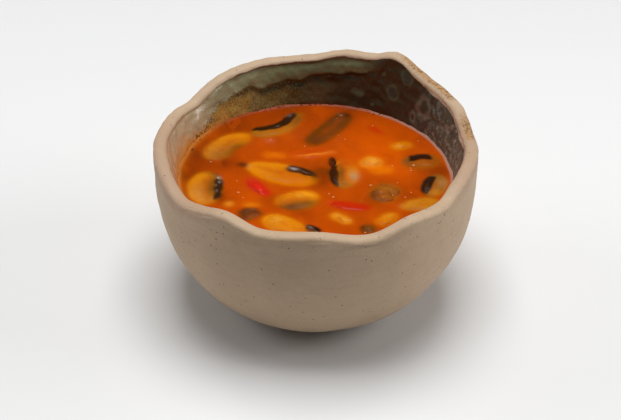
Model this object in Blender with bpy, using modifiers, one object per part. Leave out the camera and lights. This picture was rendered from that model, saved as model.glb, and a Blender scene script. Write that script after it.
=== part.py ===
"""Tom yum soup in a hand-pinched stoneware bowl.

The bowl is turned from one closed profile and its rim is then pinched into waves.  The soup
fills it up to SOUP_LEVEL and is cut round every piece that floats in it.  Each piece is a
bean-shaped solid that shows a little above the soup.  Metres, +Z up, origin at the centre of
the foot, front of the bowl towards -Y.
"""
import math
from collections import namedtuple

import bmesh
import bpy
import numpy as np
from mathutils import Matrix, Vector

# ---------------------------------------------------------------- driving dimensions
MM = 0.001
GAP = 0.3 * MM                     # clearance between neighbouring solids

BOWL_RADIUS = 70.0 * MM            # outside, at the widest ring
EQUATOR = 68.4 * MM                # height of the widest ring above the table
BELLY_DEPTH = 73.6 * MM            # depth of the full belly curve, which the foot cuts off
BELLY_POWER = 2.384                # 2 would be an ellipse; more is fuller
LIP_THICKNESS = 6.0 * MM
LIP_HEIGHT = EQUATOR + 4.0 * MM    # centre of the rounded lip, before the waves
INNER_RADIUS = 60.0 * MM           # inside, of the same kind of curve
INNER_FLOOR = 8.5 * MM             # top of the bowl's floor
FOOT_RING_WIDTH = 6.5 * MM
FOOT_RECESS = 1.5 * MM
SOUP_LEVEL = 57.3 * MM
SPLAY_POWER = 1.3                  # how the inner wall opens between the soup and the lip

BOWL_STEPS = 80
SOUP_STEPS = 48
PIECE_SEGMENTS = 10
PIECE_RINGS = 7
INNER_POINTS = 6                   # of the curve below the soup
SPLAY_SHARES = (0.35, 0.7)         # rings of the wall between the soup and the lip
LIP_POINTS = 6                     # of the half round of the lip
OUTSIDE_POINTS = 8                 # of the belly outside
SHARP_ANGLE = 50.0                 # degrees between faces from which an edge looks sharp

# The pinched rim: azimuth in degrees (0 = +X, 90 = back), height of the lip's centre above
# the widest ring, and how far the lip is tucked inwards, both in mm.
RIM_WAVES = [
    (10, 3.2, 0.2), (16, 6.0, 0.2), (23, 8.5, 0.1), (38, 9.6, 0.0), (47, 12.3, 0.6),
    (58, 16.0, 0.0), (67, 13.2, 0.5), (80, 11.9, 0.2), (94, 8.9, 0.2), (114, 8.2, 0.2),
    (128, 6.8, 0.4), (141, 3.6, 0.8), (147, 1.2, 0.2), (157, 2.5, 0.0), (172, 3.2, 0.0),
    (195, 2.7, 0.2), (213, -1.1, 0.6), (225, 2.2, 0.2), (237, 5.6, 0.0), (251, 1.8, 0.5),
    (270, 3.7, 0.1), (290, 0.0, 0.7), (306, 3.9, 0.2), (322, 2.0, 0.8), (333, 4.6, 1.2),
    (345, 5.6, 1.1), (356, 4.4, 0.4),
]

# Each kind of piece: colour, roughness, bluntness of the ends (2 = ellipse, less is more
# pointed), squareness of the section, height of the lumps in mm.
Kind = namedtuple("Kind", "colour roughness blunt square lumps")
KINDS = {
    "mushroom": Kind((0.66, 0.30, 0.05), 0.35, 2.2, 2.8, 0.10),
    "cap": Kind((0.66, 0.30, 0.05), 0.35, 3.2, 2.8, 0.10),
    "stalk": Kind((0.28, 0.10, 0.02), 0.35, 3.0, 2.8, 0.10),
    "chunk": Kind((0.80, 0.36, 0.08), 0.40, 2.2, 2.6, 0.20),
    "brown": Kind((0.24, 0.10, 0.03), 0.50, 2.4, 2.6, 0.30),
    "wedge": Kind((0.62, 0.13, 0.01), 0.30, 1.5, 2.4, 0.00),
    "tomato": Kind((0.60, 0.03, 0.02), 0.25, 2.2, 2.8, 0.10),
    "chilli": Kind((0.53, 0.02, 0.01), 0.25, 2.0, 2.2, 0.05),
}

# What floats in the soup.  x, y: centre.  heading: direction of the length, with the hollow
# side on its left.  bend: the arc that the length turns through.  lean: tilt about the
# length, lifting the hollow side.  rise: how far the top stands above the soup.  Millimetres
# and degrees.
Piece = namedtuple("Piece", "name kind x y heading length width thickness bend lean rise")
PIECES = [
    Piece("mushroom_left_back", "cap", -38.5, 22.5, -127, 26, 12.5, 6, 80, -10, 1.6),
    Piece("mushroom_left", "mushroom", -45.8, -10.5, -90, 25, 15.5, 7, 60, 6, 2),
    Piece("mushroom_back", "cap", -17.5, 41.5, 39, 30, 10, 6, 100, 8, 1.3),
    Piece("mushroom_centre", "mushroom", -14.8, 2.4, -19, 33, 15.5, 7, 30, 6, 2),
    Piece("mushroom_middle", "mushroom", 12, 2.5, 88, 23, 13, 7, 15, 10, 1.9),
    Piece("mushroom_right_back", "mushroom", 46.5, 13.8, 10, 18, 12, 6, 35, 8, 1.5),
    Piece("mushroom_right", "mushroom", 50.8, -5.5, 72, 17, 11, 6, 30, 8, 1.6),
    Piece("mushroom_right_front", "mushroom", 44.8, -21, 188, 18, 9.5, 6, 25, -6, 1.6),
    Piece("mushroom_front_left", "mushroom", -7.5, -19.3, 200, 19, 14, 7, 25, -6, 2),
    Piece("mushroom_front", "mushroom", -12.5, -36.5, -30, 20, 11, 7, 30, 4, 2.1),
    Piece("mushroom_front_right", "mushroom", 29.8, -31, 45, 11, 6, 5, 40, 0, 1.3),
    Piece("mushroom_stalk", "stalk", 5.6, 39, 57, 33, 11, 6, 15, 0, 1.1),
    Piece("tomato_wedge", "wedge", -2, 17.8, 12, 23, 9.5, 5, 0, 0, 1.2),
    Piece("tomato_piece", "tomato", -25, -8.8, -54, 17, 6, 6, 25, 0, 1.6),
    Piece("chilli_strip", "chilli", 14.2, -21.8, -13, 19, 5.6, 3.5, 30, 0, 1),
    Piece("chunk_right", "chunk", 24.2, 12, 30, 10.5, 9, 8, 20, 14, 2.1),
    Piece("chunk_right_back", "chunk", 38.2, 26, 20, 10, 6, 6, 20, 8, 1.3),
    Piece("chunk_front", "chunk", 11, -31.4, -40, 11, 5.5, 6, 20, 8, 1.4),
    Piece("brown_chunk", "brown", 29.5, -12, 60, 15, 12.5, 9, 10, 0, 2.4),
    Piece("brown_piece_left", "brown", -27.8, -29.2, 30, 10, 9.5, 6, 20, 0, 1.5),
    Piece("brown_piece_front", "brown", 22, -38.8, 0, 7, 6.5, 6, 0, 0, 1.5),
]
LUMPS_PER_MM = 0.9                 # angular frequency of the lumps along a piece
TOP_LUMPS = 0.8                    # how much slower the lumps of its height run
SIDE_TWIST = 2.0                   # how far the lumps of its width turn with its height
TOP_TWIST = 4.0                    # how far the lumps of its height turn with its width
TOP_SHIFT = 1.0                    # start of the lumps of its height

BOWL_COLOUR = (0.45, 0.31, 0.21)
BOWL_ROUGHNESS = 0.7
SOUP_COLOUR = (0.54, 0.08, 0.002)
SOUP_ROUGHNESS = 0.15


# ---------------------------------------------------------------- scene helpers
def clear_scene():
    for obj in list(bpy.data.objects):
        bpy.data.objects.remove(obj, do_unlink=True)


def new_collection(name):
    collection = bpy.data.collections.new(name)
    bpy.context.scene.collection.children.link(collection)
    return collection


def paint(obj, colour, roughness):
    """Give the object a material of its own."""
    material = bpy.data.materials.new(obj.name)
    material.use_nodes = True
    shader = material.node_tree.nodes["Principled BSDF"]
    shader.inputs["Base Color"].default_value = (*colour, 1.0)
    shader.inputs["Roughness"].default_value = roughness
    shader.inputs["Metallic"].default_value = 0.0
    obj.data.materials.append(material)


def turned(name, profile, steps, collection):
    """An object turned about Z from a profile of (radius, height) with its ends on the axis."""
    mesh = bpy.data.meshes.new(name)
    points = [(radius, 0.0, height) for radius, height in profile]
    edges = [(i, i + 1) for i in range(len(points) - 1)]
    mesh.from_pydata(points, edges, [])
    obj = bpy.data.objects.new(name, mesh)
    collection.objects.link(obj)
    screw = obj.modifiers.new("Turn", "SCREW")
    screw.steps = steps
    screw.render_steps = steps
    screw.use_merge_vertices = True
    screw.merge_threshold = 0.01 * MM
    return obj


def freeze(obj):
    """Replace the object's mesh by its evaluated one and drop the modifiers."""
    depsgraph = bpy.context.evaluated_depsgraph_get()
    mesh = bpy.data.meshes.new_from_object(obj.evaluated_get(depsgraph))
    obj.modifiers.clear()
    obj.data = mesh


def smooth(mesh):
    """Shade the mesh round, apart from its real edges."""
    mesh.shade_smooth()
    mesh.set_sharp_from_angle(angle=math.radians(SHARP_ANGLE))


# ---------------------------------------------------------------- profiles
def belly(radius, depth, power, angles):
    """Points of the curve |r / radius|^power + |drop / depth|^power = 1 below the equator.

    An angle of 0 is the equator and 90 degrees is the lowest point, on the axis."""
    points = []
    for angle in angles:
        reach = radius * math.cos(angle) ** (2.0 / power)
        drop = depth * math.sin(angle) ** (2.0 / power)
        points.append((reach, EQUATOR - drop))
    return points


def belly_angle(drop, depth, power):
    """The angle at which the belly curve has come down by drop."""
    return math.asin((drop / depth) ** (power / 2.0))


def inner_curve(count):
    """The inside below the soup's level, from the floor's centre up, axis point included."""
    depth = EQUATOR - INNER_FLOOR
    top = belly_angle(EQUATOR - SOUP_LEVEL, depth, BELLY_POWER)
    angles = np.linspace(math.pi / 2.0, top, count)
    points = belly(INNER_RADIUS, depth, BELLY_POWER, angles[1:])
    return [(0.0, INNER_FLOOR)] + points


def bowl_profile():
    """Up the inside, over the rounded lip, down the outside and under the foot."""
    half_lip = LIP_THICKNESS / 2.0
    inside = inner_curve(INNER_POINTS)
    soup_radius = inside[-1][0]
    lip_inside = BOWL_RADIUS - LIP_THICKNESS
    splay = []
    for share in SPLAY_SHARES:
        radius = soup_radius + (lip_inside - soup_radius) * share ** SPLAY_POWER
        splay.append((radius, SOUP_LEVEL + (LIP_HEIGHT - SOUP_LEVEL) * share))
    lip = []
    for angle in np.linspace(math.pi, 0.0, LIP_POINTS):
        radius = BOWL_RADIUS - half_lip + half_lip * math.cos(angle)
        lip.append((radius, LIP_HEIGHT + half_lip * math.sin(angle)))
    foot_angle = belly_angle(EQUATOR, BELLY_DEPTH, BELLY_POWER)
    angles = np.linspace(0.0, foot_angle, OUTSIDE_POINTS)
    outside = belly(BOWL_RADIUS, BELLY_DEPTH, BELLY_POWER, angles)
    ring = outside[-1][0] - FOOT_RING_WIDTH
    foot = [(ring, 0.0), (ring - FOOT_RECESS, FOOT_RECESS), (0.0, FOOT_RECESS)]
    return inside + splay + lip + outside + foot


def soup_profile():
    """The inside of the bowl up to the soup's level, smaller all round by the gap."""
    inside = inner_curve(INNER_POINTS)
    shrink = (inside[-1][0] - GAP) / inside[-1][0]
    depth = SOUP_LEVEL - INNER_FLOOR
    side = []
    for radius, height in inside:
        share = (height - INNER_FLOOR) / depth
        side.append((radius * shrink, INNER_FLOOR + GAP + share * (depth - GAP)))
    return [(0.0, SOUP_LEVEL)] + side[::-1]


# ---------------------------------------------------------------- the rim's waves
def wave_curve(column):
    """A closed curve through one column of RIM_WAVES, in metres, that never overshoots.

    Between two listed points it is a cubic.  Its slope at a point is the harmonic mean of
    the slopes on both sides, and zero where the curve turns round."""
    listed = np.array(RIM_WAVES, dtype=float)
    before = listed[-2:] - (360.0, 0.0, 0.0)
    after = listed[:2] + (360.0, 0.0, 0.0)
    table = np.concatenate([before, listed, after])
    azimuth = table[:, 0]
    value = table[:, column] * MM
    step = np.diff(azimuth)
    rate = np.diff(value) / step
    product = rate[:-1] * rate[1:]
    same_way = product > 0.0
    total = np.where(same_way, rate[:-1] + rate[1:], 1.0)
    slope = np.zeros(len(azimuth))
    slope[1:-1] = np.where(same_way, 2.0 * product / total, 0.0)

    def curve(angle):
        i = int(np.searchsorted(azimuth, angle % 360.0, side="right")) - 1
        t = (angle % 360.0 - azimuth[i]) / step[i]
        rest = 1.0 - t
        start = rest * rest * ((1.0 + 2.0 * t) * value[i] + t * step[i] * slope[i])
        end = t * t * ((3.0 - 2.0 * t) * value[i + 1] - rest * step[i] * slope[i + 1])
        return start + end

    return curve


def pinch_rim(mesh):
    """Raise, lower and tuck in the wall above the soup so that the lip follows the waves."""
    height = wave_curve(1)
    tuck = wave_curve(2)
    for vertex in mesh.vertices:
        x, y, z = vertex.co
        share = min(max((z - SOUP_LEVEL) / (LIP_HEIGHT - SOUP_LEVEL), 0.0), 1.0)
        if share > 0.0:
            angle = math.degrees(math.atan2(y, x))
            shrink = 1.0 - tuck(angle) * share * share / math.hypot(x, y)
            lift = (EQUATOR + height(angle) - LIP_HEIGHT) * share * share
            vertex.co = (x * shrink, y * shrink, z + lift)


# ---------------------------------------------------------------- pieces
def bean_point(point, piece, kind, margin):
    """Carry a point of the unit sphere, whose poles are on X, to the piece's surface.

    The margin makes the surface larger all round without moving its lumps."""
    half = Vector((piece.length, piece.width, piece.thickness)) * MM / 2.0
    across = math.hypot(point.y, point.z)
    end = (1.0 - min(abs(point.x), 1.0) ** kind.blunt) ** (1.0 / kind.blunt)
    if across < 1e-6:
        end = 0.0
    turn = math.atan2(point.z, point.y)
    side = math.copysign(abs(math.cos(turn)) ** (2.0 / kind.square), math.cos(turn)) * end
    up = math.copysign(abs(math.sin(turn)) ** (2.0 / kind.square), math.sin(turn)) * end
    lump = kind.lumps * MM * end
    phase = LUMPS_PER_MM * point.x * half.x / MM
    x = point.x * (half.x + margin)
    y = side * (half.y + margin) + lump * math.sin(phase + SIDE_TWIST * up)
    top_phase = TOP_LUMPS * phase + TOP_TWIST * side + TOP_SHIFT
    z = up * (half.z + margin) + lump * math.sin(top_phase)
    arc = math.radians(piece.bend)
    if arc > 0.0:
        radius = piece.length * MM / arc
        swing = x / radius
        middle = radius * (1.0 - math.cos(arc / 2.0)) / 2.0
        x = (radius - y) * math.sin(swing)
        y = radius - (radius - y) * math.cos(swing) - middle
    return Vector((x, y, z))


def make_piece(piece, margin, name, collection):
    """One floating piece, or its cutter when margin is the gap to leave round it.

    Both are split into the same triangles, so the gap between them is even."""
    kind = KINDS[piece.kind]
    shape = bmesh.new()
    along_x = Matrix.Rotation(math.pi / 2.0, 4, "Y")
    bmesh.ops.create_uvsphere(shape, u_segments=PIECE_SEGMENTS, v_segments=PIECE_RINGS,
                              radius=1.0, matrix=along_x)
    for vertex in shape.verts:
        vertex.co = bean_point(vertex.co, piece, kind, margin)
    bmesh.ops.triangulate(shape, faces=shape.faces[:], quad_method="FIXED")
    mesh = bpy.data.meshes.new(name)
    shape.to_mesh(mesh)
    shape.free()
    smooth(mesh)
    obj = bpy.data.objects.new(name, mesh)
    collection.objects.link(obj)
    obj.rotation_mode = "XYZ"
    obj.rotation_euler = (math.radians(piece.lean), 0.0, math.radians(piece.heading))
    tilt = Matrix.Rotation(math.radians(piece.lean), 3, "X")
    top = max((tilt @ vertex.co).z for vertex in mesh.vertices)
    centre_height = SOUP_LEVEL + piece.rise * MM + margin - top
    obj.location = (piece.x * MM, piece.y * MM, centre_height)
    return obj


# ---------------------------------------------------------------- assembly
def build_bowl(collection):
    bowl = turned("bowl", bowl_profile(), BOWL_STEPS, collection)
    freeze(bowl)
    pinch_rim(bowl.data)
    smooth(bowl.data)
    paint(bowl, BOWL_COLOUR, BOWL_ROUGHNESS)


def build_pieces(collection, cutters):
    for piece in PIECES:
        kind = KINDS[piece.kind]
        obj = make_piece(piece, 0.0, piece.name, collection)
        paint(obj, kind.colour, kind.roughness)
        cutter = make_piece(piece, GAP, piece.name + "_cutter", cutters)
        cutter.hide_render = True
        cutter.display_type = "WIRE"


def build_soup(collection, cutters):
    soup = turned("soup", soup_profile(), SOUP_STEPS, collection)
    cut = soup.modifiers.new("Cut round the pieces", "BOOLEAN")
    cut.operation = "DIFFERENCE"
    cut.operand_type = "COLLECTION"
    cut.collection = cutters
    cut.solver = "EXACT"
    freeze(soup)
    smooth(soup.data)
    paint(soup, SOUP_COLOUR, SOUP_ROUGHNESS)


def main():
    clear_scene()
    parts = new_collection("tom_yum_soup")
    cutters = new_collection("cutters")
    build_bowl(parts)
    build_pieces(parts, cutters)
    build_soup(parts, cutters)


main()
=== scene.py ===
# %% [markdown]
# # Tom yum soup in a pinched stoneware bowl
#
# The frame is a solid model of the bowl, the soup and the pieces that float in it.  It knows
# every size and place, but its surfaces are coarse and plain.  This lesson gives each of them
# a fine surface and a finish: clay and glaze for the bowl, a wet orange broth, and slices of
# mushroom, tomato and chilli that sink into it by degrees.

from collections import namedtuple

import bpy
import numpy as np
from mathutils import Matrix, Vector


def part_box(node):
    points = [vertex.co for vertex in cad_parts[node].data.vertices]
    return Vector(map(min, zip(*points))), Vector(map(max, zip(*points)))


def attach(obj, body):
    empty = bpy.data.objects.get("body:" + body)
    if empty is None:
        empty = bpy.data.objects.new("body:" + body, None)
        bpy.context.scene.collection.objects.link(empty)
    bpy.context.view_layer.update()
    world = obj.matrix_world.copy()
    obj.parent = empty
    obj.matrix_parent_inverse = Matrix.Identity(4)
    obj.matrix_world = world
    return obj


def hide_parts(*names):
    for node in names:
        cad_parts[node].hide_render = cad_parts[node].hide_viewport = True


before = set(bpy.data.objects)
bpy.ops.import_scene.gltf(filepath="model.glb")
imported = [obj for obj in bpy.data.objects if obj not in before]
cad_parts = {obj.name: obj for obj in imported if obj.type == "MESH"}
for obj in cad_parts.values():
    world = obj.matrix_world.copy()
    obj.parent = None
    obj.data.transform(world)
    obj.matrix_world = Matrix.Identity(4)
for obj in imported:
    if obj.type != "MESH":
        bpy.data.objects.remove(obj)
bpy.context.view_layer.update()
print("nodes in the frame:", len(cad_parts))

# %% [markdown]
# ## Sizes
#
# Everything is in metres, but a bowl is easier to describe in millimetres, so MM is the unit
# that the numbers below are written in.  The soup's level and width and the floor of the bowl
# are read from the frame's box of the soup, so the fine surfaces land on the solids.

# %% Driving sizes
MM = 0.001
soup_low, soup_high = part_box("soup")
GAP = 0.3 * MM                              # what the solids keep between them
BOWL_RADIUS = 70.0 * MM
LEVEL = soup_high.z                         # the soup's level
SOUP_RADIUS = (soup_high.x - soup_low.x) / 2.0 + GAP
FLOOR = soup_low.z - GAP                    # the bowl's floor, inside
EQUATOR = 68.4 * MM                         # height of the widest ring
BELLY_DEPTH = 73.6 * MM                     # the belly curve's full depth, cut off by the foot
BELLY_POWER = 2.384
INNER_RADIUS = 60.0 * MM
LIP_THICKNESS = 6.0 * MM
LIP_HEIGHT = EQUATOR + 4.0 * MM
FOOT_RING_WIDTH = 6.5 * MM
FOOT_RECESS = 1.5 * MM
SPLAY_POWER = 1.3
LIP_DOME = 2.5 * MM                         # height of the lip's rounding
LIP_SQUARE = 0.78                           # 1 for a round lip, less for a squarer one
print(f"soup level {LEVEL / MM:.1f} mm, radius there {SOUP_RADIUS / MM:.1f} mm")

# %% [markdown]
# ## The rim's waves
#
# A thumb has pushed the soft rim up and down and in, so the lip is a closed curve with crests
# and dips.  A short list of those places, joined by a curve that never overshoots them, is
# enough to describe it.

# %% A closed curve through listed values
# azimuth in degrees (0 = +X, 90 = back), height above the widest ring, tuck inwards, in mm
RIM_WAVES = np.array([
    (10, 3.2, 0.2), (16, 6.0, 0.2), (23, 8.5, 0.1), (38, 9.6, 0.0), (47, 12.3, 0.6),
    (58, 16.0, 0.0), (67, 13.2, 0.5), (80, 11.9, 0.2), (94, 8.9, 0.2), (114, 8.2, 0.2),
    (128, 6.8, 0.4), (141, 3.6, 0.8), (147, 1.2, 0.2), (157, 2.5, 0.0), (172, 3.2, 0.0),
    (195, 2.7, 0.2), (213, -1.1, 0.6), (225, 2.2, 0.2), (237, 5.6, 0.0), (251, 1.8, 0.5),
    (270, 3.7, 0.1), (290, 0.0, 0.7), (306, 3.9, 0.2), (322, 2.0, 0.8), (333, 4.6, 1.2),
    (345, 5.6, 1.1), (356, 4.4, 0.4),
])


def ring_curve(azimuth, listed, values):
    """A closed curve through values at the listed azimuths, in degrees.

    Each stretch is a cubic.  The slope at a listed point is the harmonic mean of the slopes
    on its two sides, and zero where they have opposite signs, so nothing overshoots."""
    places = np.concatenate([listed[-2:] - 360.0, listed, listed[:2] + 360.0])
    heights = np.concatenate([values[-2:], values, values[:2]])
    step = np.diff(places)
    rate = np.diff(heights) / step
    product = rate[:-1] * rate[1:]
    same_way = product > 0.0
    total = np.where(same_way, rate[:-1] + rate[1:], 1.0)
    slope = np.zeros(len(places))
    slope[1:-1] = np.where(same_way, 2.0 * product / total, 0.0)
    angle = np.mod(azimuth, 360.0)
    i = np.searchsorted(places, angle, side="right") - 1
    t = (angle - places[i]) / step[i]
    rest = 1.0 - t
    start = rest ** 2 * ((1.0 + 2.0 * t) * heights[i] + t * step[i] * slope[i])
    end = t ** 2 * ((3.0 - 2.0 * t) * heights[i + 1] - rest * step[i] * slope[i + 1])
    return start + end


def lip_height(azimuth):
    """Height of the lip's centre line at an azimuth in degrees."""
    return EQUATOR + ring_curve(azimuth, RIM_WAVES[:, 0], RIM_WAVES[:, 1]) * MM


def lip_tuck(azimuth):
    """How far the lip leans inwards at an azimuth in degrees."""
    return ring_curve(azimuth, RIM_WAVES[:, 0], RIM_WAVES[:, 2]) * MM


print(f"lip crest {lip_height(58.0) / MM:.1f} mm, dip {lip_height(213.0) / MM:.1f} mm")

# %% [markdown]
# ## A few small tools
#
# Handmade and cooked things are never quite even.  A sum of sine waves in random directions
# is a cheap smooth unevenness, and a seed makes it the same each time.  The largest tool turns
# a grid of points into a closed mesh and checks that it is the right way out.


# %% Smooth unevenness
def uneven(points, size, seed, count=14):
    """A smooth wandering value, about -1 to 1, at points of shape (..., 3).

    It is the mean of sine waves whose wavelengths are near size, with random directions and
    phases, scaled by the square root of twice their number."""
    source = np.random.default_rng(seed)
    direction = source.normal(size=(count, 3))
    direction /= np.linalg.norm(direction, axis=1)[:, None]
    wavelength = size * source.uniform(0.7, 1.5, count)
    phase = source.uniform(0.0, 2.0 * np.pi, count)
    total = np.zeros(points.shape[:-1])
    for k in range(count):
        total += np.sin(points @ direction[k] * 2.0 * np.pi / wavelength[k] + phase[k])
    return total / np.sqrt(2.0 * count)


def smoothstep(low, high, value):
    """0 below low, 1 above high, and an S-shaped cubic between them."""
    t = np.clip((value - low) / (high - low), 0.0, 1.0)
    return t * t * (3.0 - 2.0 * t)


def blend(a, b, share):
    """Between two colours: a where share is 0, b where it is 1."""
    share = np.asarray(share)[..., None]
    return np.asarray(a) * (1.0 - share) + np.asarray(b) * share


def signed_power(value, power):
    """A value's size to a power, with the value's own sign."""
    return np.sign(value) * np.abs(value) ** power


def polar(radius, angle):
    """x and y of places given by their radius and angle."""
    return radius * np.cos(angle), radius * np.sin(angle)


def turned(x, y, angle):
    """x and y after a turn by an angle about the origin."""
    return x * np.cos(angle) - y * np.sin(angle), x * np.sin(angle) + y * np.cos(angle)


def from_level(x, y, z):
    """Points in metres, from mm whose heights count from the soup's level."""
    return np.stack([x * MM, y * MM, LEVEL + z * MM], axis=-1)


# %% A closed mesh from a grid of points
def in_scene(name, data):
    """An object that shows the given mesh, lamp or camera."""
    obj = bpy.data.objects.new(name, data)
    bpy.context.scene.collection.objects.link(obj)
    return obj


def skin(name, points, **attributes):
    """A closed mesh from points of shape (rows, columns, 3), closed round along a row.

    The first and last rows are single points, the poles.  An attribute has one value or one
    colour for each point of the grid.  If the volume comes out negative the faces are turned
    over, so that they point outwards."""
    rows, columns = points.shape[:2]
    inner = rows - 2
    vertices = np.concatenate([points[:1, 0], points[1:-1].reshape(-1, 3), points[-1:, 0]])
    a = np.arange(columns)
    b = (a + 1) % columns
    row = 1 + columns * np.arange(inner - 1)[:, None]
    quads = np.stack([row + a, row + b, row + columns + b, row + columns + a], axis=-1)
    quads = quads.reshape(-1, 4)
    last = len(vertices) - 1
    first_ring = 1
    last_ring = 1 + columns * (inner - 1)
    low_cap = np.stack([np.zeros(columns, int), first_ring + b, first_ring + a], axis=-1)
    high_cap = np.stack([np.full(columns, last), last_ring + a, last_ring + b], axis=-1)
    corners = vertices[quads]
    cross = np.cross(corners[:, 2] - corners[:, 0], corners[:, 3] - corners[:, 1])
    volume = (corners.mean(axis=1) * cross).sum() / 6.0
    if volume < 0.0:
        quads, low_cap, high_cap = quads[:, ::-1], low_cap[:, ::-1], high_cap[:, ::-1]
    mesh = bpy.data.meshes.new(name)
    mesh.from_pydata(vertices, [], quads.tolist() + low_cap.tolist() + high_cap.tolist())
    mesh.shade_smooth()
    for label, value in attributes.items():
        value = np.asarray(value, dtype=float)
        tail = value.shape[2:]
        flat = np.concatenate([value[:1, 0], value[1:-1].reshape((-1,) + tail), value[-1:, 0]])
        keep_attribute(mesh, label, flat)
    return in_scene(name, mesh)


def keep_attribute(mesh, label, values):
    """Store a value or an (r, g, b) colour for each vertex of the mesh."""
    if values.ndim == 1:
        layer = mesh.attributes.new(label, "FLOAT", "POINT")
        layer.data.foreach_set("value", values.astype(np.float32))
    else:
        layer = mesh.attributes.new(label, "FLOAT_COLOR", "POINT")
        rgba = np.concatenate([values, np.ones((len(values), 1))], axis=1)
        layer.data.foreach_set("color", rgba.ravel().astype(np.float32))


def triangles(obj):
    """How many triangles the object's mesh has."""
    return sum(len(face.vertices) - 2 for face in obj.data.polygons)


# %% [markdown]
# ## Shader maths as arithmetic
#
# A material is a graph of nodes, but most of it is plain arithmetic.  The Link class wraps a
# socket, so that `1 - mask * 0.5` adds the Math nodes by itself.  Finish is a material in the
# making: its method node adds any other kind of node, and the rest are names for common ones.


# %% A socket that can be calculated with
class Link:
    """One output socket.  Adding, multiplying and so on makes a Math node."""

    def __init__(self, finish, socket):
        self.finish = finish
        self.socket = socket

    def math(self, operation, *values):
        """A Math node on values that are numbers or links."""
        inputs = dict(enumerate(values))
        return self.finish.node("ShaderNodeMath", {"operation": operation}, inputs)

    def __add__(self, other):
        return self.math("ADD", self, other)

    __radd__ = __add__

    def __sub__(self, other):
        return self.math("SUBTRACT", self, other)

    def __rsub__(self, other):
        return self.math("SUBTRACT", other, self)

    def __mul__(self, other):
        return self.math("MULTIPLY", self, other)

    __rmul__ = __mul__

    def step(self, low, high):
        """0 below low and 1 above high, with an S-shaped change between them."""
        settings = {"interpolation_type": "SMOOTHSTEP", "clamp": True}
        inputs = {"Value": self, "From Min": low, "From Max": high}
        return self.finish.node("ShaderNodeMapRange", settings, inputs)


class Finish:
    """A material in the making, with a Principled shader at its end."""

    def __init__(self, name):
        self.material = bpy.data.materials.new(name)
        self.material.use_nodes = True
        self.tree = self.material.node_tree
        self.shader = self.tree.nodes["Principled BSDF"]
        where = self.node("ShaderNodeTexCoord", {}, {}, "Object")
        scale = {"Vector": where, "Scale": (1.0 / MM, 1.0 / MM, 1.0 / MM)}
        self.place = self.node("ShaderNodeMapping", {}, scale)

    def node(self, kind, settings, inputs, output=0):
        """Add a node: settings first, then each input's value or link; give one output."""
        node = self.tree.nodes.new(kind)
        for key, value in settings.items():
            setattr(node, key, value)
        for key, value in inputs.items():
            if isinstance(value, Link):
                self.tree.links.new(value.socket, node.inputs[key])
            else:
                node.inputs[key].default_value = value
        return Link(self, node.outputs[output])

    def value(self, label):
        """A value that the piece's mesh carries."""
        return self.node("ShaderNodeAttribute", {"attribute_name": label}, {}, "Fac")

    def colour(self, label):
        """A colour that the piece's mesh carries."""
        return self.node("ShaderNodeAttribute", {"attribute_name": label}, {}, "Color")

    def mix(self, share, a, b, blend_type="MIX"):
        """Colour a where share is 0 and colour b where it is 1."""
        settings = {"data_type": "RGBA", "blend_type": blend_type}
        a = a if isinstance(a, Link) else (*a, 1.0)
        b = b if isinstance(b, Link) else (*b, 1.0)
        return self.node("ShaderNodeMix", settings, {0: share, 6: a, 7: b}, 2)

    def tint(self, share, colour, factor):
        """A colour multiplied by factor, as far as share says."""
        return self.mix(share, colour, self.mix(1.0, colour, factor, "MULTIPLY"))

    def noise(self, size, detail=2.0, roughness=0.5, where=None):
        """Cloudy noise from 0 to 1 whose blotches are about size millimetres wide."""
        inputs = {"Vector": where or self.place, "Scale": 1.0 / size, "Detail": detail,
                  "Roughness": roughness}
        return self.node("ShaderNodeTexNoise", {}, inputs)

    def cells(self, size, output="Distance"):
        """Voronoi cells about size millimetres wide."""
        inputs = {"Vector": self.place, "Scale": 1.0 / size}
        return self.node("ShaderNodeTexVoronoi", {}, inputs, output)

    def red(self, colour):
        """The red part of a colour, as a random number from a cell's colour."""
        return self.node("ShaderNodeSeparateColor", {}, {"Color": colour}, "Red")

    def bump(self, *layers):
        """Chain of bumps, each (height, depth in mm); give the resulting normal."""
        normal = None
        for height, depth in layers:
            inputs = {"Height": height, "Distance": depth * MM, "Strength": 1.0}
            if normal is not None:
                inputs["Normal"] = normal
            normal = self.node("ShaderNodeBump", {}, inputs)
        return normal

    def done(self, obj, **sockets):
        """Set the shader's sockets by name, with _ for a space, and dress the object."""
        for key, value in sockets.items():
            socket = self.shader.inputs[key.replace("_", " ")]
            if isinstance(value, Link):
                self.tree.links.new(value.socket, socket)
            else:
                socket.default_value = value
        obj.data.materials.clear()
        obj.data.materials.append(self.material)


print("tools ready")

# %% [markdown]
# ## The bowl's shape
#
# A potter turns the bowl first and pinches its rim afterwards, and the surface is made in the
# same order.  A profile runs from the middle of the floor up the inside, over the lip, down
# the outside and under the foot.  Turned about Z it is a grid of profile rows and azimuth
# columns.  Above the soup the rows then follow the rim's waves, most of all at the lip.  Last
# comes the fine unevenness: throwing rings, a soft groove under the lip, and the thick edge
# where the pale glaze stopped running inside.


# %% The turned profile
# grid rows along each stretch of the profile
FLOOR_ROWS = 9
LEVEL_ROWS = 7
WALL_ROWS = 56
LIP_ROWS = 30
SIDE_ROWS = 9
OUTSIDE_ROWS = 76
FOOT_EDGE = 0.3 * MM                        # how far the foot ring's edges are rounded


def belly(radius, depth, angle):
    """Radius and height on |r / radius|^p + |drop / depth|^p = 1, by an angle from the rim."""
    reach = radius * np.abs(np.cos(angle)) ** (2.0 / BELLY_POWER)
    return reach, EQUATOR - depth * np.sin(angle) ** (2.0 / BELLY_POWER)


def belly_angle(drop, depth):
    """The angle at which the belly has come down by drop."""
    return np.arcsin((drop / depth) ** (BELLY_POWER / 2.0))


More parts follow.
